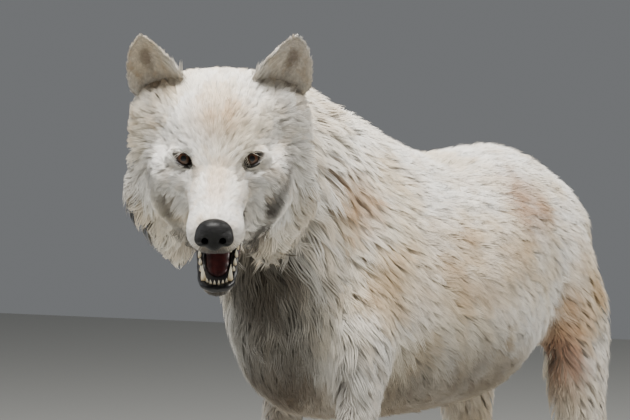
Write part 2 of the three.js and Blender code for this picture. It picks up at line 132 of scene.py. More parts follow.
class Look:
    """A Principled material; keywords set its unlinked sockets."""

    def __init__(self, name, roughness, **constants):
        self.material = bpy.data.materials.new(name)
        self.material.use_nodes = True
        self.tree = self.material.node_tree
        self.shader = self.tree.nodes["Principled BSDF"]
        for key, value in {"Roughness": roughness, **constants}.items():
            self.feed(key, value)

    @property
    def coords(self):
        return add(self.tree, "ShaderNodeTexCoord").outputs["Object"]

    def feed(self, socket, value):
        put(self.tree, self.shader.inputs[socket.replace("_", " ")], value)

    def stored(self, name):
        return add(self.tree, "ShaderNodeAttribute", {"attribute_name": name}).outputs["Fac"]

    def noise(self, scale, detail):
        return add(self.tree, "ShaderNodeTexNoise", None, Vector=self.coords, Scale=scale, Detail=detail).outputs[0]

    def cells(self, scale, feature="DISTANCE_TO_EDGE"):
        return add(self.tree, "ShaderNodeTexVoronoi", {"feature": feature}, Vector=self.coords, Scale=scale).outputs[0]

    def mottle(self, value, start, end, low, high):
        """The base colour, from one to another as a value rises."""
        self.feed("Base_Color", mix(self.tree, ramp01(self.tree, value, start, end), low, high))

    def bump(self, height, distance, strength=0.6):
        self.feed("Normal", add(self.tree, "ShaderNodeBump", None, Height=height, Distance=distance, Strength=strength))


def stand(name, data):
    """A new object, linked to the scene."""
    thing = bpy.data.objects.new(name, data)
    bpy.context.scene.collection.objects.link(thing)
    return thing


def circle(count):
    """Even angles once round."""
    return np.arange(count) * 2 * np.pi / count


print("helpers ready")

# %% [markdown]
# ## Camera, floor and light
# A long lens at the height of the animal's eyes flattens the body as a
# telephoto portrait does. The floor is plain and pale, and three large soft
# lamps do what an overcast sky does to a white coat: one high in front, a
# weaker one from the side, and one behind that lights the edge of the back.
# Hard lamps would draw a black shadow under every tuft.

# %% Camera
AZIMUTH, DOWN = math.radians(31.0), math.radians(1.5)
AIM, AWAY = Vector((0.15059, -0.43399, 0.656)), 2.9
look = Vector((-math.sin(AZIMUTH) * math.cos(DOWN), math.cos(AZIMUTH) * math.cos(DOWN), -math.sin(DOWN)))
camera_data = bpy.data.cameras.new("camera")
camera_data.lens, camera_data.sensor_width, camera_data.clip_end = 150.6, 36.0, 50
camera = stand("camera", camera_data)
camera.location = AIM - look * AWAY
camera.rotation_euler = look.to_track_quat("-Z", "Y").to_euler()
bpy.context.scene.camera = camera
print("camera at", [round(c, 3) for c in camera.location])

# %% Floor and soft lamps
floor_mesh = bpy.data.meshes.new("floor")
floor_mesh.from_pydata([(x, y, -0.0006) for x, y in ((-6, -6), (6, -6), (6, 6), (-6, 6))], [], [(0, 1, 2, 3)])
floor = stand("floor", floor_mesh)
floor_mesh.materials.append(Look("floor_paint", 0.8, Base_Color=(0.42, 0.42, 0.4, 1)).material)

# name | place | aim | size | watts | tint
LAMPS = [("key_lamp", (0.3, -1.3, 3.4), (0, -0.1, 0.6), 1.3, 275, (1.0, 0.98, 0.94)),
         ("side_lamp", (-2.8, -1.6, 1.6), (0, -0.1, 0.5), 2.0, 24, (0.94, 0.97, 1.0)),
         ("rim_lamp", (2.4, 1.6, 2.8), (0, 0.1, 0.6), 1.6, 80, (1.0, 0.98, 0.94))]
for name, place, aim, size, watts, tint in LAMPS:
    data = bpy.data.lights.new(name, "AREA")
    data.shape, data.size, data.size_y = "RECTANGLE", size, size * 0.8
    data.energy, data.color = watts, tint
    lamp = stand(name, data)
    lamp.location = place
    lamp.rotation_euler = (Vector(aim) - Vector(place)).to_track_quat("-Z", "Y").to_euler()
world = bpy.data.worlds.new("pale_world")
world.use_nodes = True
world.node_tree.nodes["Background"].inputs["Color"].default_value = (0.84, 0.87, 0.9, 1)
world.node_tree.nodes["Background"].inputs["Strength"].default_value = 0.2
bpy.context.scene.world = world
print("lamps", len(bpy.data.lights))

# %% [markdown]
# ## Where the head is
# The head is turned and tipped, so everything on the face is easier to place
# in the head's own frame: x to the wolf's left, y back from the nose, z up,
# with the middle of the two eyes as its origin. The two eye solids give that
# origin, so the frame follows the CAD and no number is repeated. The lower jaw
# turns about its hinge inside this frame.

# %% The frames of the head and the jaw
HEAD_TURN = Matrix.Rotation(math.radians(31), 3, "Z") @ Matrix.Rotation(math.radians(20), 3, "X")
JAW_OPEN, HINGE = math.radians(18), np.array([0.0, 45.0, -35.0])


def middle(node):
    low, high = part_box(node)
    return (low + high) / 2


EYES = (middle("eye_left") + middle("eye_right")) / 2 - HEAD_TURN @ Vector((0, 0.001, 0))
HEAD_R, HEAD_O = np.array(HEAD_TURN), np.array(EYES)
JAW_R = np.array(Matrix.Rotation(JAW_OPEN, 3, "X"))


def unit(vectors):
    return vectors / np.maximum(np.linalg.norm(vectors, axis=-1, keepdims=True), 1e-9)


def to_head(points):
    """Object metres to millimetres in the head's frame."""
    return (np.asarray(points, float) - HEAD_O) @ HEAD_R / MM


def from_head(points):
    """Millimetres in the head's frame to object metres."""
    return np.asarray(points, float) * MM @ HEAD_R.T + HEAD_O


def jaw_to_head(points):
    """A place on the shut jaw, to where the open jaw has it."""
    return (np.asarray(points, float) - HINGE) @ JAW_R.T + HINGE


def head_to_jaw(points):
    return (np.asarray(points, float) - HINGE) @ JAW_R + HINGE


print("eyes' middle", [round(c, 4) for c in EYES])

# %% [markdown]
# ## A field of distances
# A skin that crosses from trunk to legs without a seam is hard to loft and
# easy to carve out of a field: each solid is turned into a grid of signed
# distances, the grids are joined by their minimum, and a surface is drawn
# where the distance has the value we want. Asking for minus twenty-four
# millimetres instead of zero gives a body shrunk by the depth of the coat.
# Voxel remesh plus shrinking would do it too, but it can't vary the depth.

# %% Helpers for grids of distances
class Grid:
    """Distances in millimetres on an even grid of points."""

    def __init__(self, low, high, step):
        self.low, self.step = np.asarray(low, float), step
        self.shape = tuple(np.ceil((np.asarray(high) - self.low) / step).astype(int) + 1)

    def points(self):
        axes = [self.low[k] + self.step * np.arange(self.shape[k], dtype=np.float32) for k in range(3)]
        return np.stack(np.meshgrid(*axes, indexing="ij"), -1)

    def distance(self, vertices, triangles, band=70.0):
        """Signed distance of the grid's points from a closed mesh, in mm."""
        indexed = ((vertices - self.low) / self.step).astype(np.float32)
        reach = band / (self.step / MM)
        level = openvdb.FloatGrid.createLevelSetFromPolygons(
            indexed, triangles.astype(np.uint32), np.zeros((0, 4), np.uint32),
            openvdb.createLinearTransform(1.0), exBandWidth=reach, inBandWidth=reach)
        values = np.empty(self.shape, np.float32)
        level.copyToArray(values, (0, 0, 0))
        return values * (self.step / MM)

    def surface(self, values, level=0.0):
        """The closed surface where the field has a level, as vertices, quads."""
        volume = openvdb.FloatGrid(50.0)
        volume.copyFromArray(np.ascontiguousarray(values, np.float32))
        points, _, quads = volume.convertToPolygons(level)
        return points.astype(float) * self.step + self.low, quads.astype(np.int64)

    def sample(self, values, points):
        """The field at any points, mixed from the eight corners round each."""
        place = (np.asarray(points) - self.low) / self.step
        place = np.clip(place, 0, np.array(self.shape) - 1.001)
        cell = place.astype(np.int64)
        part = place - cell
        flat, (_, b, c) = values.ravel(), self.shape
        start = (cell[:, 0] * b + cell[:, 1]) * c + cell[:, 2]
        total = 0
        for i, j, k in itertools.product((0, 1), repeat=3):
            share = (np.where(i, part[:, 0], 1 - part[:, 0]) * np.where(j, part[:, 1], 1 - part[:, 1])
                     * np.where(k, part[:, 2], 1 - part[:, 2]))
            total = total + share * flat[start + (i * b + j) * c + k]
        return total

    def slope(self, values, points):
        """The direction in which the field grows, as unit vectors."""
        reach = self.step * 0.8
        result = np.stack([self.sample(values, points + step) - self.sample(values, points - step)
                           for step in np.eye(3) * reach], -1)
        return unit(result)


def soften(values, times=1):
    """Blur a field with its neighbours, which rounds off its creases."""
    for _ in range(times):
        for axis in range(3):
            values = (np.roll(values, 1, axis) + 2 * values + np.roll(values, -1, axis)) / 4
    return values


def node_mesh(name):
    """A solid's vertices and triangles, with its doubles merged."""
    work = bmesh.new()
    work.from_mesh(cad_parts[name].data)
    bmesh.ops.remove_doubles(work, verts=work.verts, dist=1e-6)
    bmesh.ops.triangulate(work, faces=work.faces)
    vertices = np.array([v.co for v in work.verts])
    triangles = np.array([[v.index for v in f.verts] for f in work.faces])
    work.free()
    return vertices, triangles


def split(quads):
    return np.concatenate([quads[:, [0, 1, 2]], quads[:, [0, 2, 3]]])


print("grid helpers ready")

# %% [markdown]
# ## The body's field
# One coarse grid holds the whole animal. Each solid's own distance is kept,
# because the ratio of two of them says how much a place belongs to the neck
# and how much to the trunk, and everything that changes along the body, such
# as the coat's depth and the way it lies, is mixed with those shares. The
# joined field is drawn once and measured again, so that its inside no longer
# knows where two solids met.

# %% One distance for each solid, and their union
LEGS = ["leg_fore_left", "leg_fore_right", "leg_hind_left", "leg_hind_right"]
PAWS = ["paw_fore_left", "paw_fore_right", "paw_hind_left", "paw_hind_right"]
FLESH = ["head", "jaw", "neck", "trunk", "tail"] + LEGS + PAWS
MESHES = {name: node_mesh(name) for name in FLESH + ["ear_left", "ear_right", "nose"]}


def union_field(grid, names, band=70.0):
    """The distance from several touching solids taken as one."""
    own = {name: grid.distance(*MESHES[name], band=band) for name in names}
    joined = np.minimum.reduce(list(own.values())) - 1.0
    vertices, quads = grid.surface(joined)
    return grid.distance(vertices, split(quads), band) + 1.0, own


def close_grooves(grid, field, joined, where, reach=9.0, band=60.0):
    """Fill grooves narrower than twice the reach, where a mask is 1."""
    vertices, quads = grid.surface(joined - reach)
    filled = grid.distance(vertices, split(quads), band) + reach
    return np.minimum(field, filled + 60 * (1 - where))


def behind_face(points):
    """1 behind the mouth and the eyes and clear of the paws."""
    y = to_head(points.reshape(-1, 3))[:, 1].reshape(points.shape[:-1])
    return np.clip((y - 8) / 25, 0, 1) * (points[..., 2] > 0.12)


body_grid = Grid(np.array(CAD_BOX[0]) - 0.03, np.array(CAD_BOX[1]) + 0.03, 5 * MM)
body_field, own_fields = union_field(body_grid, FLESH)
body_field = close_grooves(body_grid, body_field, body_field, behind_face(body_grid.points()))
print("body grid", body_grid.shape, "deepest", round(float(body_field.min()), 1), "mm")

# %% [markdown]
# ## How deep the coat is
# A wolf's winter coat is some seven centimetres deep on the neck, less on the
# body and only a few millimetres on the face and the lower legs. The skin is
# therefore set inside the solids by a depth that changes from place to place.
# Each body part has its own rule, and the shares of the parts mix the rules.

# %% Shares of the body parts at any place, and the depth of the coat there
def fade(value, start, end):
    """From 0 at start to 1 at end, with soft shoulders."""
    part = np.clip((value - start) / (end - start), 0, 1)
    return part * part * (3 - 2 * part)


def bump(points, centre, radii):
    """A soft round patch, 1 at its centre."""
    return np.exp(-(((points - np.array(centre)) / np.array(radii)) ** 2).sum(-1))


def shares(distances, blend=14.0):
    """How much a place belongs to each part, from its distances to them."""
    stack = np.stack(distances)
    weights = np.exp(-(stack - stack.min(0)) / blend)
    return weights / weights.sum(0)


def head_depth(h):
    """Depth of the coat on the head, from a place in the head's frame."""
    x, y, z = np.abs(h[..., 0]), h[..., 1], h[..., 2]
    depth = 2.4 + 3.8 * fade(y, -20, 55)
    depth = depth + 8 * fade(x, 50, 80) * fade(y, 30, 75) * fade(z, 25, -20)
    depth = depth + 3 * fade(z, -72, -105) * fade(y, -5, 45)
    flipped = np.stack([x, y, z], -1)
    depth = depth * (1 - 0.55 * bump(flipped, (70, 76, 52), (30, 30, 26)))
    return depth


def coat_depth(points, part):
    """Depth in mm that one part's rule gives at object places in metres."""
    z = points[..., 2] / MM
    if part in ("head", "jaw"):
        depth = head_depth(to_head(points))
        return np.minimum(depth, 3.5 + 9 * fade(to_head(points)[..., 1], -20, 40)) if part == "jaw" else depth
    if part == "neck":
        return np.full(z.shape, 25.0)
    if part == "trunk":
        return 14.0 + 4 * fade(z, 560, 700)
    if part == "tail":
        return 24.0 - 4 * fade(z, 380, 290)
    if part.startswith("leg_fore"):
        return 6.0 + 9 * fade(z, 260, 420)
    if part.startswith("leg_hind"):
        return 6.0 + 11 * fade(z, 250, 430)
    return np.full(z.shape, 3.6)


def depth_everywhere(points, distances, names):
    mixed = 0
    for share, name in zip(shares(distances), names):
        mixed = mixed + share * coat_depth(points, name)
    return mixed


body_depth = depth_everywhere(body_grid.points(), [own_fields[n] for n in FLESH], FLESH)
print("depth of the coat", round(float(body_depth.min()), 1), "to", round(float(body_depth.max()), 1), "mm")

# %% [markdown]
# ## One skin
# The skin is drawn from the coarse grid, then its faces on the head and the
# paws are divided and pushed onto finer grids, because toes, lips and eyelids
# need two millimetres where a flank is happy with four. In the finer grid of
# the head a round lid lies over each eyeball, so that the brow and the cheek
# close over the eye before the opening is cut.

# %% The opening of an eye
EYE_R = 12.5
EYE_C = {side: np.array([sign * 36.5, 1.0, 0.0]) for side, sign in (("left", 1), ("right", -1))}
SLIT, UPPER_LID, LOWER_LID, SLANT = 12.0, 6.2, 5.2, math.radians(25)


def eye_axes(side):
    """Outward, along the slit to its outer corner, and across it upwards."""
    sign = 1 if side == "left" else -1
    out = np.array([sign * 0.177, -0.958, 0.225])
    out /= np.linalg.norm(out)
    level = np.cross([0, 0, 1.0], out) * sign
    level /= np.linalg.norm(level)
    rise = np.cross(out, level) * sign
    return out, level * math.cos(SLANT) + rise * math.sin(SLANT), rise * math.cos(SLANT) - level * math.sin(SLANT)


def slit_loop(count=72):
    """The almond of the opening in the plane of the lids, in mm."""
    turn = np.arange(count) * 2 * np.pi / count
    along, up = np.cos(turn) * SLIT, np.sin(turn)
    across = np.sign(up) * np.abs(up) ** 0.92 * np.where(up > 0, UPPER_LID, LOWER_LID)
    duct = np.exp(-((along + SLIT) / 3.2) ** 2)
    return np.stack([along - 1.6 * duct, across - 1.3 * duct], -1)


def eye_opening(h, side):
    """How far a place lies outside the almond, in mm, seen along its axis."""
    out, along, up = eye_axes(side)
    away = h - EYE_C[side]
    seen = np.stack([away @ along, away @ up], -1)
    size = np.sqrt((seen[:, 0] / SLIT) ** 2 + (seen[:, 1] / np.where(seen[:, 1] > 0, UPPER_LID, LOWER_LID)) ** 2)
    return (size - 1) * np.linalg.norm(seen, axis=1) / np.maximum(size, 1e-6)


print("eye axis", np.round(eye_axes("left")[0], 3))


# %% Finer fields for the head and the paws
def meld(a, b, width):
    """Join two fields so that their creases run out over a width."""
    part = np.clip(0.5 + (a - b) / (2 * width), 0, 1)
    return a * (1 - part) + b * part - width * part * (1 - part)


def ellipsoid(places, centre, radii):
    """Roughly the distance of places from an ellipsoid, in mm."""
    scaled = (places - np.array(centre)) / np.array(radii)
    length = np.linalg.norm(scaled, axis=-1)
    return length * (length - 1) / np.maximum(np.linalg.norm(scaled / np.array(radii), axis=-1), 1e-6)


def cover_eyes(field, places, join):
    """Close the brow and the cheek over both eyeballs."""
    for centre in EYE_C.values():
        socket = ellipsoid(places, (np.sign(centre[0]) * 38.5, -1.0, -0.5), (19, 10.5, 15))
        field = meld(field, socket, 6)
        field = join(field, np.linalg.norm(places - centre, axis=-1) - (EYE_R + 1.6))
    return field


HEAD_MARGIN = 0.028  # nearer its border the head's grid can't be trusted
head_low = from_head([[0, 0, 0]])[0] + np.array([-0.16, -0.145, -0.17])
head_grid = Grid(head_low, head_low + np.array([0.29, 0.31, 0.325]), 2 * MM)
head_field, head_own = union_field(head_grid, ["head", "jaw", "neck", "trunk"], 45)
head_points = head_grid.points()
head_field = close_grooves(head_grid, head_field, np.minimum.reduce([head_own[n] for n in ("head", "neck", "trunk")]),
                           behind_face(head_points), band=45.0)
head_places = to_head(head_points.reshape(-1, 3)).reshape(head_points.shape)
head_mix = depth_everywhere(head_points, list(head_own.values()), list(head_own))
head_skin_field = soften(head_field + head_mix, 1)
head_skin_field = cover_eyes(head_skin_field, head_places, lambda a, b: meld(a, b, 5))
head_coat = np.minimum(head_field, head_skin_field - 2.0)
print("head grid", head_grid.shape)

paw_grids = {}
for name in PAWS:
    low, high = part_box(name)
    grid = Grid(np.array(low) - 0.012, np.array(high) + np.array([0.012, 0.012, 0.03]), 2 * MM)
    near, own = union_field(grid, [name, name.replace("paw", "leg")], 20)
    depth = depth_everywhere(grid.points(), list(own.values()), list(own))
    paw_grids[name] = (grid, soften(near + depth, 1), near)
print("paw grids", [paw_grids[n][0].shape for n in PAWS][0])


# %% Draw the skin, then divide and fit the head and the paws
def quad_mesh(name, vertices, faces):
    mesh = bpy.data.meshes.new(name)
    mesh.from_pydata([], [], [])
    mesh.vertices.add(len(vertices))
    mesh.vertices.foreach_set("co", np.ascontiguousarray(vertices, np.float32).ravel())
    faces = np.asarray(faces)
    size = faces.shape[1]
    mesh.loops.add(faces.size)
    mesh.loops.foreach_set("vertex_index", faces.ravel().astype(np.int32))
    mesh.polygons.add(len(faces))
    mesh.polygons.foreach_set("loop_start", np.arange(0, faces.size, size, dtype=np.int32))
    mesh.update(calc_edges=True)
    mesh.validate()
    return mesh


def inside_grid(grid, points, edge):
    low = grid.low + edge
    high = grid.low + (np.array(grid.shape) - 1) * grid.step - edge
    return ((points > low) & (points < high)).all(-1)


def fit(points, grid, field, rounds=4):
    """Walk points down the field's slope until they lie on its surface."""
    for _ in range(rounds):
        away = grid.sample(field, points)
        points = points - grid.slope(field, points) * np.clip(away, -3, 3)[:, None] * MM
    return points


PAW_TOP = 0.055
coarse = soften(body_field + body_depth, 1)
places = to_head(body_grid.points().reshape(-1, 3)).reshape((*body_grid.shape, 3))
vertices, quads = body_grid.surface(cover_eyes(coarse, places, np.minimum))
skin_mesh = quad_mesh("skin", vertices, quads)
work = bmesh.new()
work.from_mesh(skin_mesh)
fine_zone = []
for face in work.faces:
    centre = np.array(face.calc_center_median())
    h = to_head(centre)
    on_face = -165 < h[1] < 45 and abs(h[0]) < 75 and h[2] > -125 and centre[1] < -0.36
    if on_face or centre[2] < PAW_TOP:
        fine_zone.append(face)
edges = list({edge for face in fine_zone for edge in face.edges})
bmesh.ops.subdivide_edges(work, edges=edges, cuts=1, use_grid_fill=True)
islands, seen = [], set()
for vert in work.verts:
    if vert.index in seen:
        continue
    group, queue = [vert], [vert]
    seen.add(vert.index)
    while queue:
        for edge in queue.pop().link_edges:
            for other in edge.verts:
                if other.index not in seen:
                    seen.add(other.index)
                    group.append(other)
                    queue.append(other)
    islands.append(group)
islands.sort(key=len)
bmesh.ops.delete(work, geom=[v for group in islands[:-1] for v in group], context="VERTS")
work.to_mesh(skin_mesh)
work.free()


def mesh_points(mesh):
    values = np.empty(len(mesh.vertices) * 3, np.float32)
    mesh.vertices.foreach_get("co", values)
    return values.reshape(-1, 3).astype(float)


RIM_START, RIM_END = 0.012, 0.03  # the head's finer field takes over inside this rim of its grid
points = mesh_points(skin_mesh)
whole = inside_grid(head_grid, points, RIM_START)
head_high = head_grid.low + (np.array(head_grid.shape) - 1) * head_grid.step
edge = 1 - np.prod([fade(np.minimum(points[:, k] - head_grid.low[k], head_high[k] - points[:, k]), RIM_START, RIM_END)
                    for k in range(3)], axis=0)
moved = fit(points[whole], head_grid, head_skin_field)
points[whole] = moved * (1 - edge[whole, None]) + points[whole] * edge[whole, None]
for name, (grid, field, _) in paw_grids.items():
    near = inside_grid(grid, points, 0.004) & (points[:, 2] < PAW_TOP)
    points[near] = fit(points[near], grid, field)
places = to_head(points)
for side, centre in EYE_C.items():
    inside = (eye_opening(places, side) < 1.6) & (places[:, 1] < centre[1] - 2)
    inside &= np.linalg.norm(places - centre, axis=1) < 22
    places[inside] = centre + unit(places[inside] - centre) * (EYE_R - 3)
    points[inside] = from_head(places[inside])
points[:, 2] = np.maximum(points[:, 2], 0.0012)
skin_mesh.vertices.foreach_set("co", points.astype(np.float32).ravel())
skin_mesh.update()
print("skin", len(skin_mesh.vertices), "vertices,", len(skin_mesh.polygons), "faces, loose bits dropped",
      len(islands) - 1)

# %% [markdown]
# ## Ears
# An ear is a thin cup of gristle, too thin for the grids above, so each one
# gets a finer grid of its own. Its foot is then drawn down into the head, the
# way the real cup grows out of the skull's side, and the two become one mesh.

# %% Ear cups, joined to the skin
EARS = ["ear_left", "ear_right"]
ear_fields = {}
work = bmesh.new()
work.from_mesh(skin_mesh)
ear_start = len(work.verts)
for name in EARS:
    vertices, triangles = MESHES[name]
    grid = Grid(vertices.min(0) - 0.012, vertices.max(0) + 0.012, 1.8 * MM)
    solid = grid.distance(vertices, triangles, 12)
    ear_fields[name] = (grid, solid)
    vertices, quads = grid.surface(soften(solid + 0.3, 1))
    into = head_grid.sample(head_skin_field, vertices)
    slope = head_grid.slope(head_skin_field, vertices)
    foot = 1 - fade(head_grid.sample(head_field, vertices), 1.5, 9)
    vertices = vertices - slope * (foot * (4 + into) * MM)[:, None]
    cup = quad_mesh("cup", vertices, quads)
    work.from_mesh(cup)
    bpy.data.meshes.remove(cup)
work.to_mesh(skin_mesh)
work.free()
skin_mesh.update()
skin_mesh.shade_smooth()
P = mesh_points(skin_mesh)
N = np.empty(len(P) * 3, np.float32)
skin_mesh.vertices.foreach_get("normal", N)
N = N.reshape(-1, 3).astype(float)
H = to_head(P)
is_ear = np.arange(len(P)) >= ear_start
print("skin with ears", len(P), "vertices")
skin = stand("skin", skin_mesh)

# %% [markdown]
# ## The lie of the coat
# Hair starts at the nose and streams back over the face, parts at the cheeks
# into the ruff, runs back and down over the neck and the flanks, and straight
# down the legs and the tail. Each part of the body states its stream as a
# direction, the shares mix them, and the result is laid flat on the skin and
# smoothed along its edges, so that no line shows where two streams meet.

# %% Streams, part by part
def stream(part):
    """The way the hair runs at every vertex, by one part's rule."""
    x, y, z = (P / MM).T
    hx, hy, hz = H.T
    side = np.sign(hx)
    if part in ("head", "jaw"):
        flow = unit(H - np.array([0, -185, -22]))
        cheek = fade(np.abs(hx), 26, 62) * fade(hz, 8, -34) * fade(hy, -50, 10)
        nape = fade(hy, 30, 90) * fade(hz, 20, 60)
        throat = fade(hz, -60, -95) * fade(hy, -30, 40)
        for share, out, back, rise in ((cheek, 0.55, 0.1, -1.15), (nape, 0.0, 0.9, -0.1), (throat, 0.1, 0.5, -0.9)):
            flow = flow + share[:, None] * np.stack([side * out, back + 0 * hx, rise + 0 * hx], -1)
        return unit(flow) @ HEAD_R.T
    top = np.clip(N[:, 2], 0, 1) ** 1.5
    front = fade(-N[:, 1], 0.25, 0.85)
    if part == "neck":
        back, rise = 0.62 + 0.5 * top - 0.55 * front, -0.8 + 0.7 * top - 0.4 * front
    elif part == "trunk":
        under = fade(-N[:, 2], 0.3, 0.9)
        shoulder = fade(y, -60, -200)
        back = 0.95 - 0.35 * shoulder * (1 - top) - 0.5 * front
        rise = -0.42 - 0.45 * shoulder * (1 - top) + 0.38 * top + 0.2 * under - 0.5 * front
    elif part == "tail":
        back, rise = 0.34 - 0.2 * fade(z, 380, 280), -1 + 0 * z
    elif part.startswith("leg"):
        back, rise = 0.14 + 0.34 * fade(z, 330, 520), -1 + 0 * z
    else:
        back, rise = -0.9 + 1.0 * fade(z, 30, 58), -0.5 + 0 * z
    return unit(np.stack([0 * x, back, rise], -1))


part_distance = [body_grid.sample(own_fields[name], P) for name in FLESH]
part_share = dict(zip(FLESH, shares(part_distance, 20.0)))
lie = sum(part_share[name][:, None] * stream(name) for name in FLESH)
for name in EARS:
    sign = 1 if name == "ear_left" else -1
    mine = is_ear & (np.sign(H[:, 0]) == sign)
    lie[mine] = np.array([sign * 0.25, -0.1, 1.0]) @ HEAD_R.T

edge_ends = np.empty(len(skin_mesh.edges) * 2, np.int32)
skin_mesh.edges.foreach_get("vertices", edge_ends)
edge_ends = edge_ends.reshape(-1, 2)


def smooth_over(values, rounds):
    """Average a value per vertex with its neighbours on the skin."""
    values = values.astype(float).copy()
    count = np.bincount(edge_ends.ravel(), minlength=len(P)) + 1.0
    for _ in range(rounds):
        total = values.copy()
        for a, b in ((0, 1), (1, 0)):
            if values.ndim == 1:
                total += np.bincount(edge_ends[:, a], weights=values[edge_ends[:, b]], minlength=len(P))
            else:
                for k in range(values.shape[1]):
                    total[:, k] += np.bincount(edge_ends[:, a], weights=values[edge_ends[:, b], k], minlength=len(P))
        values = total / (count if values.ndim == 1 else count[:, None])
    return values


lie = smooth_over(unit(lie), 8)
lie = unit(lie - N * (lie * N).sum(1)[:, None])
print("streams laid over", len(P), "vertices")

# %% [markdown]
# ## Length, width and number of tufts
# The longest hair stands on the neck and the tail, the shortest on the nose
# and the toes. A tuft's width falls with its length, and short tufts are set
# closer, so that the coat covers the skin about equally everywhere. All of it
# is stored on the skin as attributes, which Geometry Nodes reads per tuft.

# %% Attributes of the coat
def head_long(h):
    x, y, z = np.abs(h[:, 0]), h[:, 1], h[:, 2]
    long = 6.5 + 2.5 * fade(y, -125, -60) + 7 * fade(y, -30, 15) + 8 * fade(y, 30, 80)
    long = long + 26 * fade(x, 48, 84) * fade(z, 14, -30) * fade(y, 15, 60)
    long = long + 14 * fade(z, -70, -110) * fade(y, -10, 40)
    around_eye = np.minimum(eye_opening(h, "left"), eye_opening(h, "right"))
    return long * (0.4 + 0.6 * fade(around_eye, 2, 16))


z_mm = P[:, 2] / MM
long_rule = {
    "head": head_long(H), "jaw": np.minimum(head_long(H), 7 + 12 * fade(H[:, 1], -40, 20)),
    "neck": np.full(len(P), 56.0), "trunk": np.full(len(P), 46.0) + 4 * fade(z_mm, 560, 440),
    "tail": np.full(len(P), 52.0)}
for name in LEGS:
    high = 21.0 if "fore" in name else 30.0
    long_rule[name] = 11 + high * fade(z_mm, 250, 470)
for name in PAWS:
    long_rule[name] = np.full(len(P), 7.5)
tuft_long = sum(part_share[name] * long_rule[name] for name in FLESH)
ear_x, ear_y, ear_z = np.abs(H[is_ear, 0]), H[is_ear, 1], H[is_ear, 2]
tuft_long[is_ear] = (4.6 + 2.4 * fade(ear_z, 112, 88)
                     + 12 * (fade(ear_x, 78, 64) * fade(ear_z, 98, 72) * fade(ear_y, 84, 70)))
tuft_long = smooth_over(tuft_long, 4)
tuft_wide = 0.42 + 0.025 * tuft_long

depth_here = depth_everywhere(P, part_distance, FLESH)
close = inside_grid(head_grid, P, HEAD_MARGIN) & ~is_ear
depth_here[close] = np.clip(-head_grid.sample(head_coat, P[close]), 1.2, 60)
depth_here[is_ear] = 0.9

sole = (N[:, 2] < -0.55) & (P[:, 2] < 0.02)
muzzle_end = np.linalg.norm((H - np.array([0, -139, -34])) / [21, 17, 17], axis=1) < 1.0
in_mouth = (np.abs(H[:, 0]) < 30) & (H[:, 1] < 20) & (H[:, 2] < -40)
shut = head_to_jaw(H)
upper_inside = in_mouth & (N @ HEAD_R[:, 2] < -0.35) & (shut[:, 2] > -66) & (H[:, 1] > -112)
lower_inside = in_mouth & ((N @ HEAD_R)[:, 2] > 0.3) & (shut[:, 2] < -50)
bare = sole | muzzle_end | upper_inside | lower_inside
for side in EYE_C:
    bare |= (eye_opening(H, side) < 2.3) & ((H - EYE_C[side])[:, 1] < -2)
print("tufts", round(tuft_long.min(), 1), "to", round(tuft_long.max(), 1), "mm long; bare vertices", int(bare.sum()))

# %% [markdown]
# ## Markings
# An arctic wolf is never plain white: cream runs over the neck and the back,
# the forehead and the bridge of the nose are tan, the neck has a rusty patch,
# the haunches are warmer, and grey underfur shows where the coat parts. Some
# patches are painted shade: the belly, the chest, the throat and the groove
# between the cheek and the ruff are darkened where shade falls on them. One
# node group states all of that as soft patches about named places. The skin
# and every tuft use the same group, a tuft reading it at its own root, so a
# marking never breaks where a tuft crosses it.

# %% Palette
WHITE, CREAM, SAND = paint(248, 245, 238), paint(238, 226, 204), paint(204, 176, 136)
TAN, RUST = paint(194, 156, 112), paint(168, 124, 84)
# DARK is used for dark marks and for painted shade; SHADE is painted shade
DARK, PINK_BROWN = paint(42, 35, 29), paint(134, 84, 64)
BLACK, EAR_BROWN, SHADE = paint(24, 20, 19), paint(84, 60, 44), paint(66, 59, 47)
print("palette ready")



# %% The markings as one node group
def patch(tree, place, centre, radii):
    """1 in a patch round a centre, in the units of the place given."""
    scaled = vectors(tree, "DIVIDE", vectors(tree, "SUBTRACT", place, centre), radii)
    return ramp01(tree, vectors(tree, "LENGTH", scaled).outputs["Value"], 1.25, 0.45)


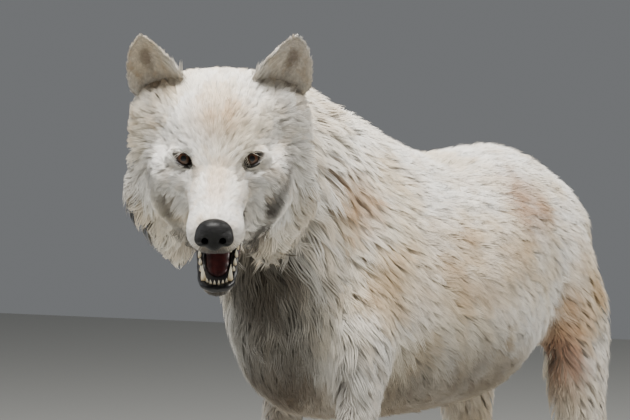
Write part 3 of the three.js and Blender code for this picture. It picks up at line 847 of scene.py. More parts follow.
def markings_group():
    tree = bpy.data.node_groups.new("wolf_markings", "ShaderNodeTree")
    tree.interface.new_socket("Place", in_out="INPUT", socket_type="NodeSocketVector")
    tree.interface.new_socket("Color", in_out="OUTPUT", socket_type="NodeSocketColor")
    inner = tree.nodes.new("NodeGroupInput")
    outer = tree.nodes.new("NodeGroupOutput")
    body = add(tree, "ShaderNodeMapping", {"vector_type": "POINT"}, Vector=inner, Scale=(1000, 1000, 1000)).outputs[0]
    head = add(tree, "ShaderNodeMapping", {"vector_type": "TEXTURE"}, Vector=inner, Location=tuple(EYES),
               Rotation=tuple(Matrix(HEAD_TURN).to_euler("XYZ")), Scale=(MM, MM, MM))
    split_head = add(tree, "ShaderNodeSeparateXYZ", None, i0=head)
    split_abs = add(tree, "ShaderNodeSeparateXYZ", None, i0=vectors(tree, "ABSOLUTE", head))
    both = add(tree, "ShaderNodeCombineXYZ", None, i0=split_abs, i1=split_head.outputs[1],
               i2=split_head.outputs[2]).outputs[0]
    wander = add(tree, "ShaderNodeTexNoise", None, Vector=body, Scale=0.011, Detail=3.0, Roughness=0.55).outputs[0]
    drawn_out = add(tree, "ShaderNodeMapping", None, Vector=body, Scale=(1, 0.25, 0.45))
    streaks = add(tree, "ShaderNodeTexNoise", None, Vector=drawn_out, Scale=0.05, Detail=4.0, Roughness=0.6).outputs[0]

    def overlay(colour, place, patches, start, full_from):
        """Lay patches over a colour, broken up by the streaks."""
        for centre, radii, tint, amount in patches:
            broken = ramp01(tree, streaks, start, 0.6, amount * full_from(tint), amount)
            mask = maths(tree, "MULTIPLY", patch(tree, place, centre, radii), broken)
            colour = mix(tree, mask, colour, tint)
        return colour

    colour = mix(tree, ramp01(tree, wander, 0.38, 0.66), WHITE, CREAM)
    colour = mix(tree, ramp01(tree, streaks, 0.52, 0.72, 0, 0.4), colour, SAND)
    # the painted shade patches (SHADE and DARK) are broken up less by the streaks than the markings
    colour = overlay(colour, body, BODY_PATCHES, 0.3, lambda tint: 0.75 if tint in (SHADE, DARK) else 0.45)
    height = add(tree, "ShaderNodeSeparateXYZ", None, i0=body).outputs[2]
    colour = mix(tree, ramp01(tree, height, 520, 330, 0, 0.35), colour, SAND)
    colour = overlay(colour, both, HEAD_PATCHES, 0.35, lambda tint: 0.5 if tint is DARK else 1.0)
    tree.links.new(colour, outer.inputs[0])
    return tree


# centre and radii in mm | tint | strength; the body's in object place
BODY_PATCHES = [
    ((69, -218, 674), (48, 60, 50), TAN, 0.9),
    ((100, -190, 580), (60, 60, 70), SAND, 0.7),
    ((-100, -205, 650), (60, 65, 60), TAN, 0.75),
    ((90, 201, 655), (65, 80, 55), RUST, 0.75),
    ((-95, 230, 655), (65, 80, 55), RUST, 0.65),
    ((108, 0, 590), (60, 210, 75), SAND, 0.7),
    ((-108, 20, 590), (60, 210, 75), SAND, 0.7),
    ((110, 370, 540), (60, 80, 90), SAND, 0.85),
    ((-110, 370, 540), (60, 80, 90), SAND, 0.85),
    ((92, 322, 500), (50, 50, 50), TAN, 0.85),
    ((-92, 300, 500), (50, 50, 50), TAN, 0.8),
    ((60, 330, 440), (60, 50, 62), PINK_BROWN, 0.9),
    ((-60, 310, 440), (60, 50, 62), PINK_BROWN, 0.75),
    ((0, 60, 780), (60, 330, 60), CREAM, 0.5),
    # painted shade under the belly, on the chest and on the front of the chest below the head
    ((25, 10, 412), (165, 330, 112), SHADE, 0.88),
    ((10, -310, 490), (90, 80, 130), SHADE, 0.85),
    ((-20, -285, 430), (80, 80, 90), DARK, 0.9),
    ((5, -335, 580), (70, 70, 50), DARK, 0.7),
    ((84, -226, 410), (46, 46, 90), WHITE, 0.85),
    ((0, 560, 300), (60, 60, 60), SAND, 0.7),
]
# the head's in the head's own frame, for both sides at once
HEAD_PATCHES = [
    ((0, 0, 46), (32, 36, 34), TAN, 0.42),
    ((0, -72, -6), (12, 66, 18), TAN, 0.5),
    ((0, 44, 78), (54, 36, 18), WHITE, 0.8),
    ((30, -26, -18), (14, 20, 10), WHITE, 0.8),
    ((27, -90, -36), (13, 44, 16), WHITE, 0.9),
    ((92, 78, -84), (24, 30, 30), SAND, 0.3),
    ((22, -8, 12), (7, 9, 5), DARK, 0.6),
    ((48, -4, 6), (4, 6, 3.4), BLACK, 0.7),
    ((26, -12, -4), (5, 8, 4), BLACK, 0.8),
    ((24, -30, -2), (4, 9, 5), DARK, 0.7),
    ((22, -40, -10), (4, 9, 5), DARK, 0.55),
    ((40, -14, -28), (18, 22, 20), WHITE, 0.85),
    ((38, -18, -50), (14, 26, 20), WHITE, 0.8),
    ((88, 40, -44), (26, 44, 36), WHITE, 0.8),
    # painted shade in the groove between the cheek and the ruff, running down towards the throat
    ((72, 26, -13), (11, 20, 15), DARK, 0.5),
    ((67, 16, -27), (12, 20, 15), DARK, 0.6),
    ((62, 6, -41), (12, 20, 15), DARK, 0.7),
    ((57, 0, -55), (13, 22, 16), DARK, 0.95),
    ((53, 4, -70), (13, 24, 16), DARK, 0.95),
    ((48, 18, -85), (13, 26, 17), DARK, 0.95),
    ((40, 36, -98), (14, 28, 17), DARK, 0.95),
    ((33, 58, -112), (16, 34, 20), DARK, 0.95),
    # painted shade on the throat behind the jaw
    ((34, 126, -158), (44, 50, 44), SHADE, 0.75),
    ((80, 74, 82), (40, 24, 42), SAND, 0.35),
    ((82, 72, 92), (8, 14, 15), EAR_BROWN, 0.6),
    ((76, 70, 76), (7, 14, 16), EAR_BROWN, 0.5),
    ((70, 68, 60), (8, 14, 13), EAR_BROWN, 0.4),
    ((0, -130, -53), (26, 16, 9), BLACK, 0.97),
    ((22, -100, -55), (9, 32, 8), BLACK, 0.92),
    ((26, -54, -62), (10, 34, 9), BLACK, 0.85),
    ((0, -94, -121), (20, 16, 11), BLACK, 0.97),
    ((19, -82, -113), (8, 15, 9), BLACK, 0.97),
    ((25, -60, -102), (8, 17, 9), BLACK, 0.97),
    ((28, -38, -90), (9, 17, 10), BLACK, 0.95),
    ((30, -16, -78), (9, 15, 12), BLACK, 0.95),
]
MARKINGS = markings_group()
print("marking patches", len(BODY_PATCHES) + 2 * len(HEAD_PATCHES))

# %% [markdown]
# ## Skin and hair materials
# The skin under a coat is seen only in the partings, so it takes the coat's
# colours darkened, with a fine grain of hair roots as bump. Hair is paler
# and warmer towards its tip and greyer at its root, and every lock differs a
# little from its neighbour. A little sheen stands for the light that passes
# along the hair shafts.

# %% Hair and skin
def markings_at(look, vector):
    node = add(look.tree, "ShaderNodeGroup", {"node_tree": MARKINGS}, i0=vector)
    return node.outputs[0]


def hair_material(name):
    look = Look(name, 0.62, Specular_IOR_Level=0.28, Sheen_Weight=0.12, Sheen_Roughness=0.5)
    tree = look.tree
    root = add(tree, "ShaderNodeAttribute", {"attribute_name": "root"}).outputs["Vector"]
    along = look.stored("along")
    deep = mix(tree, ramp01(tree, along, 0.75, 0.1, 0.0, 0.25), markings_at(look, root), paint(120, 110, 98))
    streaked = ramp01(tree, look.stored("lock"), 0.62, 0.95, 0.0, 0.4)
    streak = mix(tree, streaked, deep, mix(tree, 0.6, deep, SAND), "MULTIPLY")
    tone = maths(tree, "ADD", ramp01(tree, look.stored("chance"), 0, 1, 0.84, 1.06),
                 ramp01(tree, along, 0.3, 1.0, 0, 0.04))
    grey = add(tree, "ShaderNodeCombineColor", None, i0=tone, i1=tone, i2=tone)
    look.feed("Base_Color", mix(tree, 1.0, streak, grey, "MULTIPLY"))
    return look.material


HAIR, FACE_HAIR = hair_material("hair"), hair_material("face_hair")

SKIN = Look("skin", 0.8)
under = mix(SKIN.tree, 0.35, markings_at(SKIN, SKIN.coords), paint(150, 138, 122))
SKIN.feed("Base_Color", mix(SKIN.tree, SKIN.stored("bare"), under, paint(28, 22, 21)))
SKIN.bump(SKIN.noise(900.0, 3.0), 0.0006, 0.5)
skin_mesh.materials.append(SKIN.material)
print("materials", HAIR.name, FACE_HAIR.name, SKIN.material.name)

# %% [markdown]
# ## One tuft
# A tuft is a few hairs that cling together. Each strand is a flat three-sided
# blade that ends in a point: its two broad sides face outwards, so the coat
# closes with few faces and shades softly. A strand lies along y from 0 to 1,
# and stores how far along each ring is, how far it stands from the tuft's
# middle line and how high in the tuft, which the combing step needs.

# %% Tuft shapes
TUFT_SHAPES = 5  # different tufts in each box
BLADE = np.array([(-0.5, 0.0), (0.5, 0.0), (0.0, 0.34)])
BLADE_NORMALS = np.array([(-0.85, 0.5), (0.85, 0.5), (0.0, 1.0)])


def tuft_shape(name, strands, rings, fan, seed):
    """A fan of strands, one unit long; x is across and z is up."""
    dice = np.random.default_rng(seed)
    verts, faces, along, across, up, girths = [], [], [], [], [], []
    for k in range(strands):
        foot = (k - (strands - 1) / 2) * fan + dice.uniform(-0.4, 0.4)
        reach = dice.uniform(0.74, 1.0)
        drift = -foot * dice.uniform(0.3, 0.75) + dice.uniform(-0.7, 0.7)
        layer = dice.uniform(0, 0.5)
        start = len(verts)
        for r in range(rings + 1):
            t = r / rings
            girth = 1.0 - 0.6 * t ** 2 if r < rings else 0.0
            for dx, dz in (BLADE * girth if r < rings else [(0, 0)]):
                verts.append((foot + drift * t * t + dx, t * reach, dz))
                along.append(t * reach)
                across.append(foot + drift * t * t)
                up.append(layer)
                girths.append(girth)
        for r in range(rings - 1):
            a = start + r * 3
            faces += [(a + (c + 1) % 3, a + c, a + 3 + c, a + 3 + (c + 1) % 3) for c in range(3)]
        a = start + (rings - 1) * 3
        faces += [(a + (c + 1) % 3, a + c, a + 3) for c in range(3)]
        faces.append((start, start + 1, start + 2))
    mesh = bpy.data.meshes.new(name)
    mesh.from_pydata(verts, [], faces)
    mesh.shade_smooth()
    for key, values in (("along", along), ("across", across), ("up", up), ("girth", girths)):
        mesh.attributes.new(key, "FLOAT", "POINT").data.foreach_set("value", values)
    return bpy.data.objects.new(name, mesh)


def tuft_box(name, strands, rings, fan):
    """Tufts of one kind, with how many strands and rings they have."""
    box = bpy.data.collections.new(name)
    for k in range(TUFT_SHAPES):
        box.objects.link(tuft_shape(f"{name}_{k}", strands, rings, fan, 40 + k))
    return box, strands, rings


LONG_TUFTS = tuft_box("long_tufts", 5, 3, 1.25)
BODY_TUFTS = tuft_box("body_tufts", 6, 2, 1.3)
SHORT_TUFTS = tuft_box("short_tufts", 4, 2, 1.4)

# %% [markdown]
# ## Sowing the tufts
# Geometry Nodes scatter points over a stretch of skin as densely as the skin
# says, turn each one so that its z is the skin's normal and its y the lie of
# the coat, and put a tuft there. Python could place them one by one, but the
# nodes do it for thousands at once and always in the same way for one seed.

# %% The sowing tree
def sowing_tree():
    tree = bpy.data.node_groups.new("sow_tufts", "GeometryNodeTree")
    for name, kind in (("Skin", "Geometry"), ("Seed", "Int"), ("Tufts", "Collection"), ("Gap", "Float"),
                       ("Most", "Float"), ("Twist", "Float"), ("Material", "Material")):
        tree.interface.new_socket(name, in_out="INPUT", socket_type="NodeSocket" + kind)
    tree.interface.new_socket("Coat", in_out="OUTPUT", socket_type="NodeSocketGeometry")
    given, outer = tree.nodes.new("NodeGroupInput").outputs, tree.nodes.new("NodeGroupOutput")

    def named(name, kind="FLOAT"):
        return add(tree, "GeometryNodeInputNamedAttribute", {"data_type": kind}, Name=name).outputs["Attribute"]

    def chance(low, high, number):
        seed = maths(tree, "ADD", given["Seed"], number)
        return add(tree, "FunctionNodeRandomValue", {"data_type": "FLOAT"}, i2=low, i3=high, Seed=seed).outputs[1]

    def store(geometry, name, value, kind="FLOAT"):
        return add(tree, "GeometryNodeStoreNamedAttribute", {"data_type": kind, "domain": "POINT"},
                   Geometry=geometry, Name=name, Value=value).outputs[0]

    sow = add(tree, "GeometryNodeDistributePointsOnFaces", {"distribute_method": "POISSON"},
              Mesh=given["Skin"], Density_Factor=named("tufts_per_area"), Distance_Min=given["Gap"],
              Density_Max=given["Most"], Seed=given["Seed"]).outputs
    points = store(sow["Points"], "root", tree.nodes.new("GeometryNodeInputPosition"), "FLOAT_VECTOR")
    points = store(points, "root_up", sow["Normal"], "FLOAT_VECTOR")
    points = store(points, "chance", chance(0, 1, 1))
    points = store(points, "tuft", tree.nodes.new("GeometryNodeInputIndex"), "INT")
    length = maths(tree, "MULTIPLY", named("tuft_long"), chance(0.78, 1.18, 3))
    points = store(points, "reach", length)

    axes = add(tree, "FunctionNodeAxesToRotation", {"primary_axis": "Z", "secondary_axis": "Y"},
               i0=named("root_up", "FLOAT_VECTOR"), i1=named("lie", "FLOAT_VECTOR"))
    swing = maths(tree, "MULTIPLY", chance(-1, 1, 2), given["Twist"])
    twist = add(tree, "FunctionNodeAxisAngleToRotation", None, i0=(0, 0, 1), i1=swing)
    turned = add(tree, "FunctionNodeRotateRotation", {"rotation_space": "LOCAL"}, i0=axes, i1=twist)
    size = add(tree, "ShaderNodeCombineXYZ", None, i0=named("tuft_wide"), i1=length, i2=named("tuft_wide"))
    pick = add(tree, "FunctionNodeRandomValue", {"data_type": "INT"}, i4=0, i5=TUFT_SHAPES - 1, Seed=given["Seed"])
    shapes = add(tree, "GeometryNodeCollectionInfo", None, Collection=given["Tufts"],
                 Separate_Children=True, Reset_Children=True)
    place = add(tree, "GeometryNodeInstanceOnPoints", None, Points=points, Instance=shapes, Pick_Instance=True,
                Instance_Index=pick.outputs[2], Rotation=turned, Scale=size)
    real = tree.nodes.new("GeometryNodeRealizeInstances")
    tree.links.new(place.outputs[0], real.inputs[0])
    clothe = add(tree, "GeometryNodeSetMaterial", None, Geometry=real, Material=given["Material"])
    tree.links.new(clothe.outputs[0], outer.inputs[0])
    return tree


SOW = sowing_tree()
print("sowing nodes", len(SOW.nodes))

# %% [markdown]
# ## Growing and combing
# Sown tufts are straight and lie flat at their roots, while real locks rise
# through the coat, cling together and bend round the body. Combing does that
# to the plain mesh: neighbouring tufts lean towards a common tip, and every
# vertex is then moved along the slope of the distance field, so that a lock
# starts at the skin and ends where the solid's surface says the coat ends. A
# hair simulation would give the same with less control over the outline.

# %% Sow one stretch of coat, comb it and give it its bake map
COATS, TRIANGLES = [], {}
SOFTNESS = 0.6  # how far a blade's normals turn to the coat's own
EYE_CLEAR = 2.0  # mm that hair keeps off the opening of an eye
HELPERS = {"tuft_wide", "tuft_long", "tufts_per_area", "lie", "root_up", "tuft", "up", "across",
           "girth", "reach", "depth", "lift", "is_ear", "bare", "sharp_face"}


def read(mesh, name, width=1):
    data = mesh.attributes[name].data
    values = np.empty(len(data) * width, np.float32 if name != "tuft" else np.int32)
    data.foreach_get("vector" if width == 3 else "value", values)
    return values.reshape(-1, 3).astype(float) if width == 3 else values


def write(mesh, name, values):
    kind = "FLOAT_VECTOR" if values.ndim == 2 else "FLOAT"
    found = mesh.attributes.get(name) or mesh.attributes.new(name, kind, "POINT")
    found.data.foreach_set("vector" if values.ndim == 2 else "value", np.ascontiguousarray(values, np.float32).ravel())


def locks(roots, tufts_each, seed):
    """For each root the middle of its lock, and a number from 0 to 1."""
    dice = np.random.default_rng(seed)
    centres = dice.permutation(len(roots))[:max(1, len(roots) // tufts_each)]
    tree = KDTree(len(centres))
    for k, index in enumerate(centres):
        tree.insert(roots[index], k)
    tree.balance()
    nearest = np.array([tree.find(root)[1] for root in roots])
    return roots[centres][nearest], dice.random(len(centres))[nearest], dice.uniform(-1, 1, len(centres))[nearest]


def sow(name, where, kind, seed, cover, twist, hair):
    """Straight tufts over the vertices where a mask is 1, as one mesh."""
    tufts, strands, _ = kind
    per_area = cover / (strands * tuft_wide * tuft_long * 0.3) * 1e6
    most = per_area[where & ~bare].max()
    write(skin_mesh, "tufts_per_area", per_area / most * where * (~bare))
    source = stand(name, skin_mesh)
    modifier = source.modifiers.new("sow", "NODES")
    modifier.node_group = SOW
    values = {"Seed": seed, "Tufts": tufts, "Twist": twist, "Material": hair,
              "Gap": 0.74 / math.sqrt(float(most)), "Most": float(most * 3)}
    for item in SOW.interface.items_tree:
        if item.in_out == "INPUT" and item.name in values:
            modifier[item.identifier] = values[item.name]
    mesh = bpy.data.meshes.new_from_object(source.evaluated_get(bpy.context.evaluated_depsgraph_get()))
    bpy.data.objects.remove(source)
    return mesh


def settle(co, outward, wanted, ear):
    """Bring ring centres to the heights wanted in the distance fields."""
    near_head = inside_grid(head_grid, co, HEAD_MARGIN) & ~ear
    zones = [(body_grid, body_field, ~near_head & ~ear), (head_grid, head_coat, near_head)]
    for _ in range(3):
        for grid, field, mask in zones:
            if mask.any():
                there = co[mask]
                slope = grid.slope(field, there)
                off = np.clip(wanted[mask] - grid.sample(field, there), -25, 25)
                co[mask] = there + slope * off[:, None] * MM * 0.9
                outward[mask] = slope


def clear_eyes(co):
    """Push ring centres out of the openings of the eyes."""
    for side in EYE_C:
        h = to_head(co)
        _, slit_way, rise_way = eye_axes(side)
        beside, above = (h - EYE_C[side]) @ slit_way, (h - EYE_C[side]) @ rise_way
        open_by = eye_opening(h, side)
        crossing = (open_by < EYE_CLEAR) & (h[:, 1] < 0) & (np.abs(h[:, 0] - EYE_C[side][0]) < 30)
        away = unit(np.stack([beside / 3, above], -1)) * (EYE_CLEAR - open_by)[:, None]
        h[crossing] += (away[:, :1] * slit_way + away[:, 1:] * rise_way)[crossing]
        co[crossing] = from_head(h[crossing])


def blades(rows, outward, wide):
    """Vertices and soft normals of blades along rows of ring centres."""
    way = unit(np.gradient(rows, axis=1))
    out = unit(outward.reshape(rows.shape))
    across = unit(np.cross(way, out) + 1e-9)
    over = np.cross(across, way)
    sides, tops = across[:, :-1, None], over[:, :-1, None]
    ring = sides * BLADE[:, 0, None] + tops * BLADE[:, 1, None]
    shape = np.concatenate([(rows[:, :-1, None] + ring * wide).reshape(len(rows), -1, 3), rows[:, -1:]], 1)
    facing = sides * BLADE_NORMALS[:, 0, None] + tops * BLADE_NORMALS[:, 1, None]
    soft = unit(facing) * (1 - SOFTNESS) + out[:, :-1, None] * SOFTNESS
    soft = np.concatenate([soft.reshape(len(rows), -1, 3), out[:, -1:]], 1)
    shape = shape.reshape(-1, 3)
    shape[:, 2] = np.maximum(shape[:, 2], 0.0008)
    return shape, unit(soft.reshape(-1, 3))


def bake_map(mesh, unwrap):
    """Give each tuft one small patch, at its root's place on the unwrap."""
    u, v = unwrap(read(mesh, "root", 3))
    u = 0.006 + 0.988 * np.clip(u, 0, 1) + np.clip(read(mesh, "across") / 3.5, -1, 1) * 0.0015
    v = 0.006 + 0.988 * np.clip(v, 0, 1) + (read(mesh, "along") - 0.5) * 0.003
    loops = np.empty(len(mesh.loops), np.int32)
    mesh.loops.foreach_get("vertex_index", loops)
    for layer in list(mesh.uv_layers):
        mesh.uv_layers.remove(layer)
    layer = mesh.uv_layers.new(name="OFBake")
    layer.data.foreach_set("uv", np.stack([u[loops], v[loops]], -1).astype(np.float32).ravel())


def grow(name, where, kind, seed, cover, twist, tufts_each, pull, unwrap, hair, spread=(-0.3, 0.1), lean=0.2):
    """One stretch of coat: sown, combed, rebuilt as blades and mapped."""
    mesh = sow(name, where, kind, seed, cover, twist, hair)
    rings = kind[2]
    size = rings * 3 + 1

    # one row for each strand, one column for each ring and the tip
    whole = mesh_points(mesh).reshape(-1, size, 3)
    middles = np.concatenate([whole[:, :-1].reshape(-1, rings, 3, 3).mean(2), whole[:, -1:]], 1)

    def by_ring(key, width=1):
        values = read(mesh, key, width).reshape(len(whole), size, -1)[:, ::3]
        return values.reshape(-1, 3) if width == 3 else values.reshape(-1)

    co, root, tuft = middles.reshape(-1, 3), by_ring("root", 3), by_ring("tuft")
    along, up, wide, girth = by_ring("along"), by_ring("up"), by_ring("tuft_wide"), by_ring("girth")
    reach, depth, chance, lift = by_ring("reach"), by_ring("depth"), by_ring("chance"), by_ring("lift")
    first = np.unique(tuft, return_index=True)[1]
    order = np.searchsorted(tuft[first], tuft)
    lock_centre, lock_tone, lock_lean = (part[order] for part in locks(root[first], tufts_each, seed))
    t = along[:, None]
    co = co + (lock_centre - root) * pull * t ** 1.6
    outward = by_ring("root_up", 3)
    sideways = np.cross(outward, by_ring("lie", 3))
    co = co + sideways * (lock_lean * reach * lean)[:, None] * t ** 2
    tip = spread[0] + (spread[1] - spread[0]) * (0.6 * chance + 0.4 * lock_tone)
    rise = 1 - (1 - along) ** 1.8
    wanted = -depth * (1 - rise) + depth * tip * along ** 1.5 + lift * along ** 2 + up * wide / MM * (1 - 0.4 * along)
    wanted = wanted - 0.6 * (along < 0.01)
    ear = by_ring("is_ear") > 0.5
    settle(co, outward, wanted, ear)
    if ear.any():
        stand_off = 0.3 + 2.2 * chance * along ** 1.3 + 0.5 * up - 0.9 * (along < 0.01)
        co[ear] += outward[ear] * (stand_off * MM)[ear, None]
    clear_eyes(co)
    rows = co.reshape(-1, rings + 1, 3)
    shape, normals = blades(rows, outward, (wide * girth).reshape(-1, rings + 1)[:, :-1, None, None])
    mesh.vertices.foreach_set("co", shape.astype(np.float32).ravel())

    bake_map(mesh, unwrap)
    per_vertex = np.repeat(np.arange(rings + 1), [3] * rings + [1])
    write(mesh, "lock", lock_tone.reshape(len(rows), -1)[:, per_vertex].ravel())
    for attribute in list(mesh.attributes):
        if attribute.name in HELPERS:
            mesh.attributes.remove(attribute)
    mesh.shade_smooth()
    write(mesh, "custom_normal", normals)
    mesh.update()
    TRIANGLES[name] = len(mesh.loops) - 2 * len(mesh.polygons)
    COATS.append(stand(name, mesh))
    print(name, len(first), "tufts,", TRIANGLES[name], "triangles")


# %% [markdown]
# ## The bake map of a coat
# Each tuft takes one small patch of its piece's map, at its root's place on
# an unwrap of the skin beneath. A body part is close to a tube or a ball, so
# the unwrap turns about the part's own axis: the angle gives one coordinate,
# the way along the axis, or the angle from it on the head, gives the other.

# %% Unwraps
def tube(start, end, tile=(0, 1)):
    """An unwrap about a line, into one upright strip of the map."""
    start, end = np.array(start, float), np.array(end, float)
    axis = (end - start) / np.linalg.norm(end - start)
    side = np.cross(axis, [0, 0, 1.0] if abs(axis[2]) < 0.8 else [0, 1.0, 0])
    side /= np.linalg.norm(side)
    other = np.cross(axis, side)

    def unwrap(roots):
        away = roots - start
        turn = np.arctan2(away @ side, away @ other) / (2 * np.pi) + 0.5
        way = (away @ axis) / np.linalg.norm(end - start)
        return (tile[0] + np.clip(turn, 0.004, 0.996)) / tile[1], np.clip(way, 0, 1)
    return unwrap


def globe(centre, pole):
    """An unwrap about a pole, in the head's frame."""
    pole = np.array(pole, float) / np.linalg.norm(pole)
    side = np.cross(pole, [1.0, 0, 0]) if abs(pole[0]) < 0.7 else np.cross(pole, [0, 0, 1.0])
    side /= np.linalg.norm(side)
    other = np.cross(pole, side)

    def unwrap(roots):
        away = unit(to_head(roots) - np.array(centre))
        return np.arctan2(away @ side, away @ other) / (2 * np.pi) + 0.5, np.arccos(np.clip(away @ pole, -1, 1)) / np.pi
    return unwrap


def four_tubes(nodes):
    """One strip of the map for each limb."""
    lines = []
    for name in nodes:
        low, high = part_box(name)
        middle_xy = (low + high) / 2
        lines.append(((middle_xy.x, middle_xy.y, high.z + 0.02), (middle_xy.x, middle_xy.y, low.z - 0.01)))

    def unwrap(roots):
        centres = np.array([line[0][:2] for line in lines])
        which = np.argmin(np.linalg.norm(roots[:, None, :2] - centres[None], axis=2), axis=1)
        u, v = np.zeros(len(roots)), np.zeros(len(roots))
        for k, (start, end) in enumerate(lines):
            mine = which == k
            u[mine], v[mine] = tube(start, end, (k, len(lines)))(roots[mine])
        return u, v
    return unwrap


# %% The stretches of the coat
on_crown = bump(H, (0, 40, 84), (52, 34, 24))
edge_of_ruff = bump(np.abs(H) * [1, 1, 0] + H * [0, 0, 1], (92, 88, -60), (26, 34, 60))
for key, values in {"lie": lie, "tuft_long": tuft_long * MM, "tuft_wide": tuft_wide * MM, "depth": depth_here,
                    "is_ear": is_ear.astype(float), "bare": smooth_over(bare.astype(float), 2),
                    "lift": 4.0 * edge_of_ruff + 3.5 * on_crown}.items():
    write(skin_mesh, key, values)

leader = np.argmax(np.stack([part_share[name] for name in FLESH]), axis=0)
part_of = np.array(FLESH)[leader]
on_head = np.isin(part_of, ["head", "jaw"]) & ~is_ear
face = on_head & (tuft_long < 17.5)
ruff = on_head & ~face
left = H[:, 0] > 0
trunk_part = part_of == "trunk"
body_left = P[:, 0] > 0
rear = P[:, 1] > 0.08
legs_high = np.isin(part_of, LEGS) & (tuft_long >= 19)
legs_low = np.isin(part_of, LEGS) & ~legs_high
nose_pole, limb_tubes = globe((0, 30, -25), (0, -1, 0)), four_tubes(LEGS)
body_tube = tube((0, -0.3, 0.58), (0, 0.5, 0.58))
flank, limb = ((-0.3, 0.1), 0.12), ((-0.3, 0.05), 0.1)

# name | where | kind | cover | twist | tufts in a lock | pull | unwrap | hair | spread and lean
STRETCHES = [
    *[("face_" + side, face & mine, SHORT_TUFTS, 1.3, 0.2, 5, 0.2, nose_pole, FACE_HAIR, (-0.35, 0.0), 0.1)
      for side, mine in (("left", left), ("right", ~left))],
    *[("ruff_" + side, ruff & mine, LONG_TUFTS, 1.85, 0.25, 6, 0.45, nose_pole, HAIR)
      for side, mine in (("left", left), ("right", ~left))],
    ("ears", is_ear, SHORT_TUFTS, 0.8, 0.25, 5, 0.3, globe((0, 70, 40), (0, 0, 1)), FACE_HAIR, (0.6, 2.2)),
    ("neck", part_of == "neck", LONG_TUFTS, 2.0, 0.25, 7, 0.45, tube((0.02, -0.42, 0.7), (0, -0.15, 0.6)), HAIR),
    *[(end + side, trunk_part & mine & there, BODY_TUFTS, 2.35, 0.22, 8, 0.22, body_tube, HAIR, *flank)
      for end, there in (("fore_", ~rear), ("rear_", rear))
      for side, mine in (("left", body_left), ("right", ~body_left))],
    ("tail", part_of == "tail", LONG_TUFTS, 1.3, 0.3, 7, 0.5, tube((0, 0.44, 0.68), (0, 0.56, 0.27)), HAIR),
    ("thighs", legs_high, BODY_TUFTS, 1.3, 0.25, 6, 0.25, limb_tubes, HAIR, *flank),
    ("legs", legs_low, SHORT_TUFTS, 0.33, 0.25, 5, 0.2, limb_tubes, HAIR, *limb),
    ("paws", np.isin(part_of, PAWS), SHORT_TUFTS, 0.28, 0.25, 5, 0.2, four_tubes(PAWS), FACE_HAIR, *limb),
]
for seed, (name, where, kind, *habit) in enumerate(STRETCHES, 11):
    grow("coat_" + name, where, kind, seed, *habit)
print("whole coat", sum(TRIANGLES.values()), "triangles")

# %% [markdown]
# ## Eyes
# A wolf's eye is a brown ball under a clear dome, set deep behind black lids
# that slant up to the outside. The ball is turned in code about the direction
# it looks in, with the dome raised over the iris, and each vertex stores its
# distance from the middle of the pupil, so rings of colour follow the form.
# The lids are a loft of almond loops that leave the ball, roll over a black
# rim and run out under the hair. A texture of an eye would slide off the form.

# %% Helpers for turned, lofted and tubular meshes
PIECES = []


def finish_piece(name, parts, look, slot, node=None, place=from_head, values=None):
    """One piece from vertices and faces, with values stored per vertex."""
    vertices, faces, start = [], [], 0
    for v, f in parts:
        vertices.append(np.asarray(v, float))
        faces += [tuple(i + start for i in face) for face in f]
        start += len(v)
    mesh = bpy.data.meshes.new(name)
    mesh.from_pydata([tuple(v) for v in place(np.concatenate(vertices))], [], faces)
    for key, data in (values or {}).items():
        mesh.attributes.new(key, "FLOAT", "POINT").data.foreach_set("value", np.asarray(data, np.float32))
    work = bmesh.new()
    work.from_mesh(mesh)
    bmesh.ops.recalc_face_normals(work, faces=work.faces)
    work.to_mesh(mesh)
    work.free()
    mesh.shade_smooth()
    mesh.materials.append(look.material)
    PIECES.append((stand(name, mesh), slot, [node] if node else []))
    print(name, len(mesh.vertices), "vertices")


def loft(loops, close_ends=False):
    """Vertices and quads through closed loops of equal length."""
    count = len(loops[0])
    faces = []
    for k in range(len(loops) - 1):
        for i in range(count):
            j = (i + 1) % count
            faces.append((k * count + i, k * count + j, (k + 1) * count + j, (k + 1) * count + i))
    if close_ends:
        faces.append(tuple(range(count - 1, -1, -1)))
        faces.append(tuple((len(loops) - 1) * count + i for i in range(count)))
    return np.concatenate(loops), faces


def pipe(path, radii, sides=10, flat=1.0):
    """A round bar along a path; flat squeezes it in height."""
    path = np.asarray(path, float)
    way = unit(np.gradient(path, axis=0))
    side = unit(np.cross(way, (0, 0, 1.0)))
    over = np.cross(side, way)
    turn = circle(sides)
    loops = [p + r * (np.cos(turn)[:, None] * s + flat * np.sin(turn)[:, None] * o)
             for p, r, s, o in zip(path, np.broadcast_to(radii, len(path)), side, over)]
    return loft(loops, True)


def curve_through(points, count):
    """Even points on a smooth curve through a few given ones."""
    points = np.asarray(points, float)
    knots = np.concatenate([[2 * points[0] - points[1]], points, [2 * points[-1] - points[-2]]])
    places = np.linspace(0, len(points) - 1, count)
    k = np.minimum(places.astype(int), len(points) - 2)
    t = (places - k)[:, None]
    a, b, c, d = (knots[k + i] for i in range(4))
    return b + 0.5 * t * (c - a + t * (2 * a - 5 * b + 4 * c - d + t * (3 * b - a - 3 * c + d)))


print("mesh helpers ready")

# %% Eyeballs
IRIS_R, PUPIL_R = 7.3, 3.1
EYE = Look("eye", 0.3, Coat_Weight=0.75, Coat_Roughness=0.03, Specular_IOR_Level=0.2)
tree = EYE.tree
reach, around = EYE.stored("from_pupil"), EYE.stored("around_pupil")
spoke_place = add(tree, "ShaderNodeCombineXYZ", None, i0=maths(tree, "MULTIPLY", around, 26.0),
                  i1=maths(tree, "MULTIPLY", reach, 0.5))
spokes = add(tree, "ShaderNodeTexNoise", {"noise_dimensions": "2D"}, Scale=1.0, Detail=4.0,
             Vector=spoke_place).outputs[0]
iris = mix(tree, ramp01(tree, reach, PUPIL_R, IRIS_R), paint(78, 47, 27), paint(44, 27, 17))
iris = mix(tree, ramp01(tree, spokes, 0.4, 0.7, 0, 0.6), iris, paint(104, 66, 38))
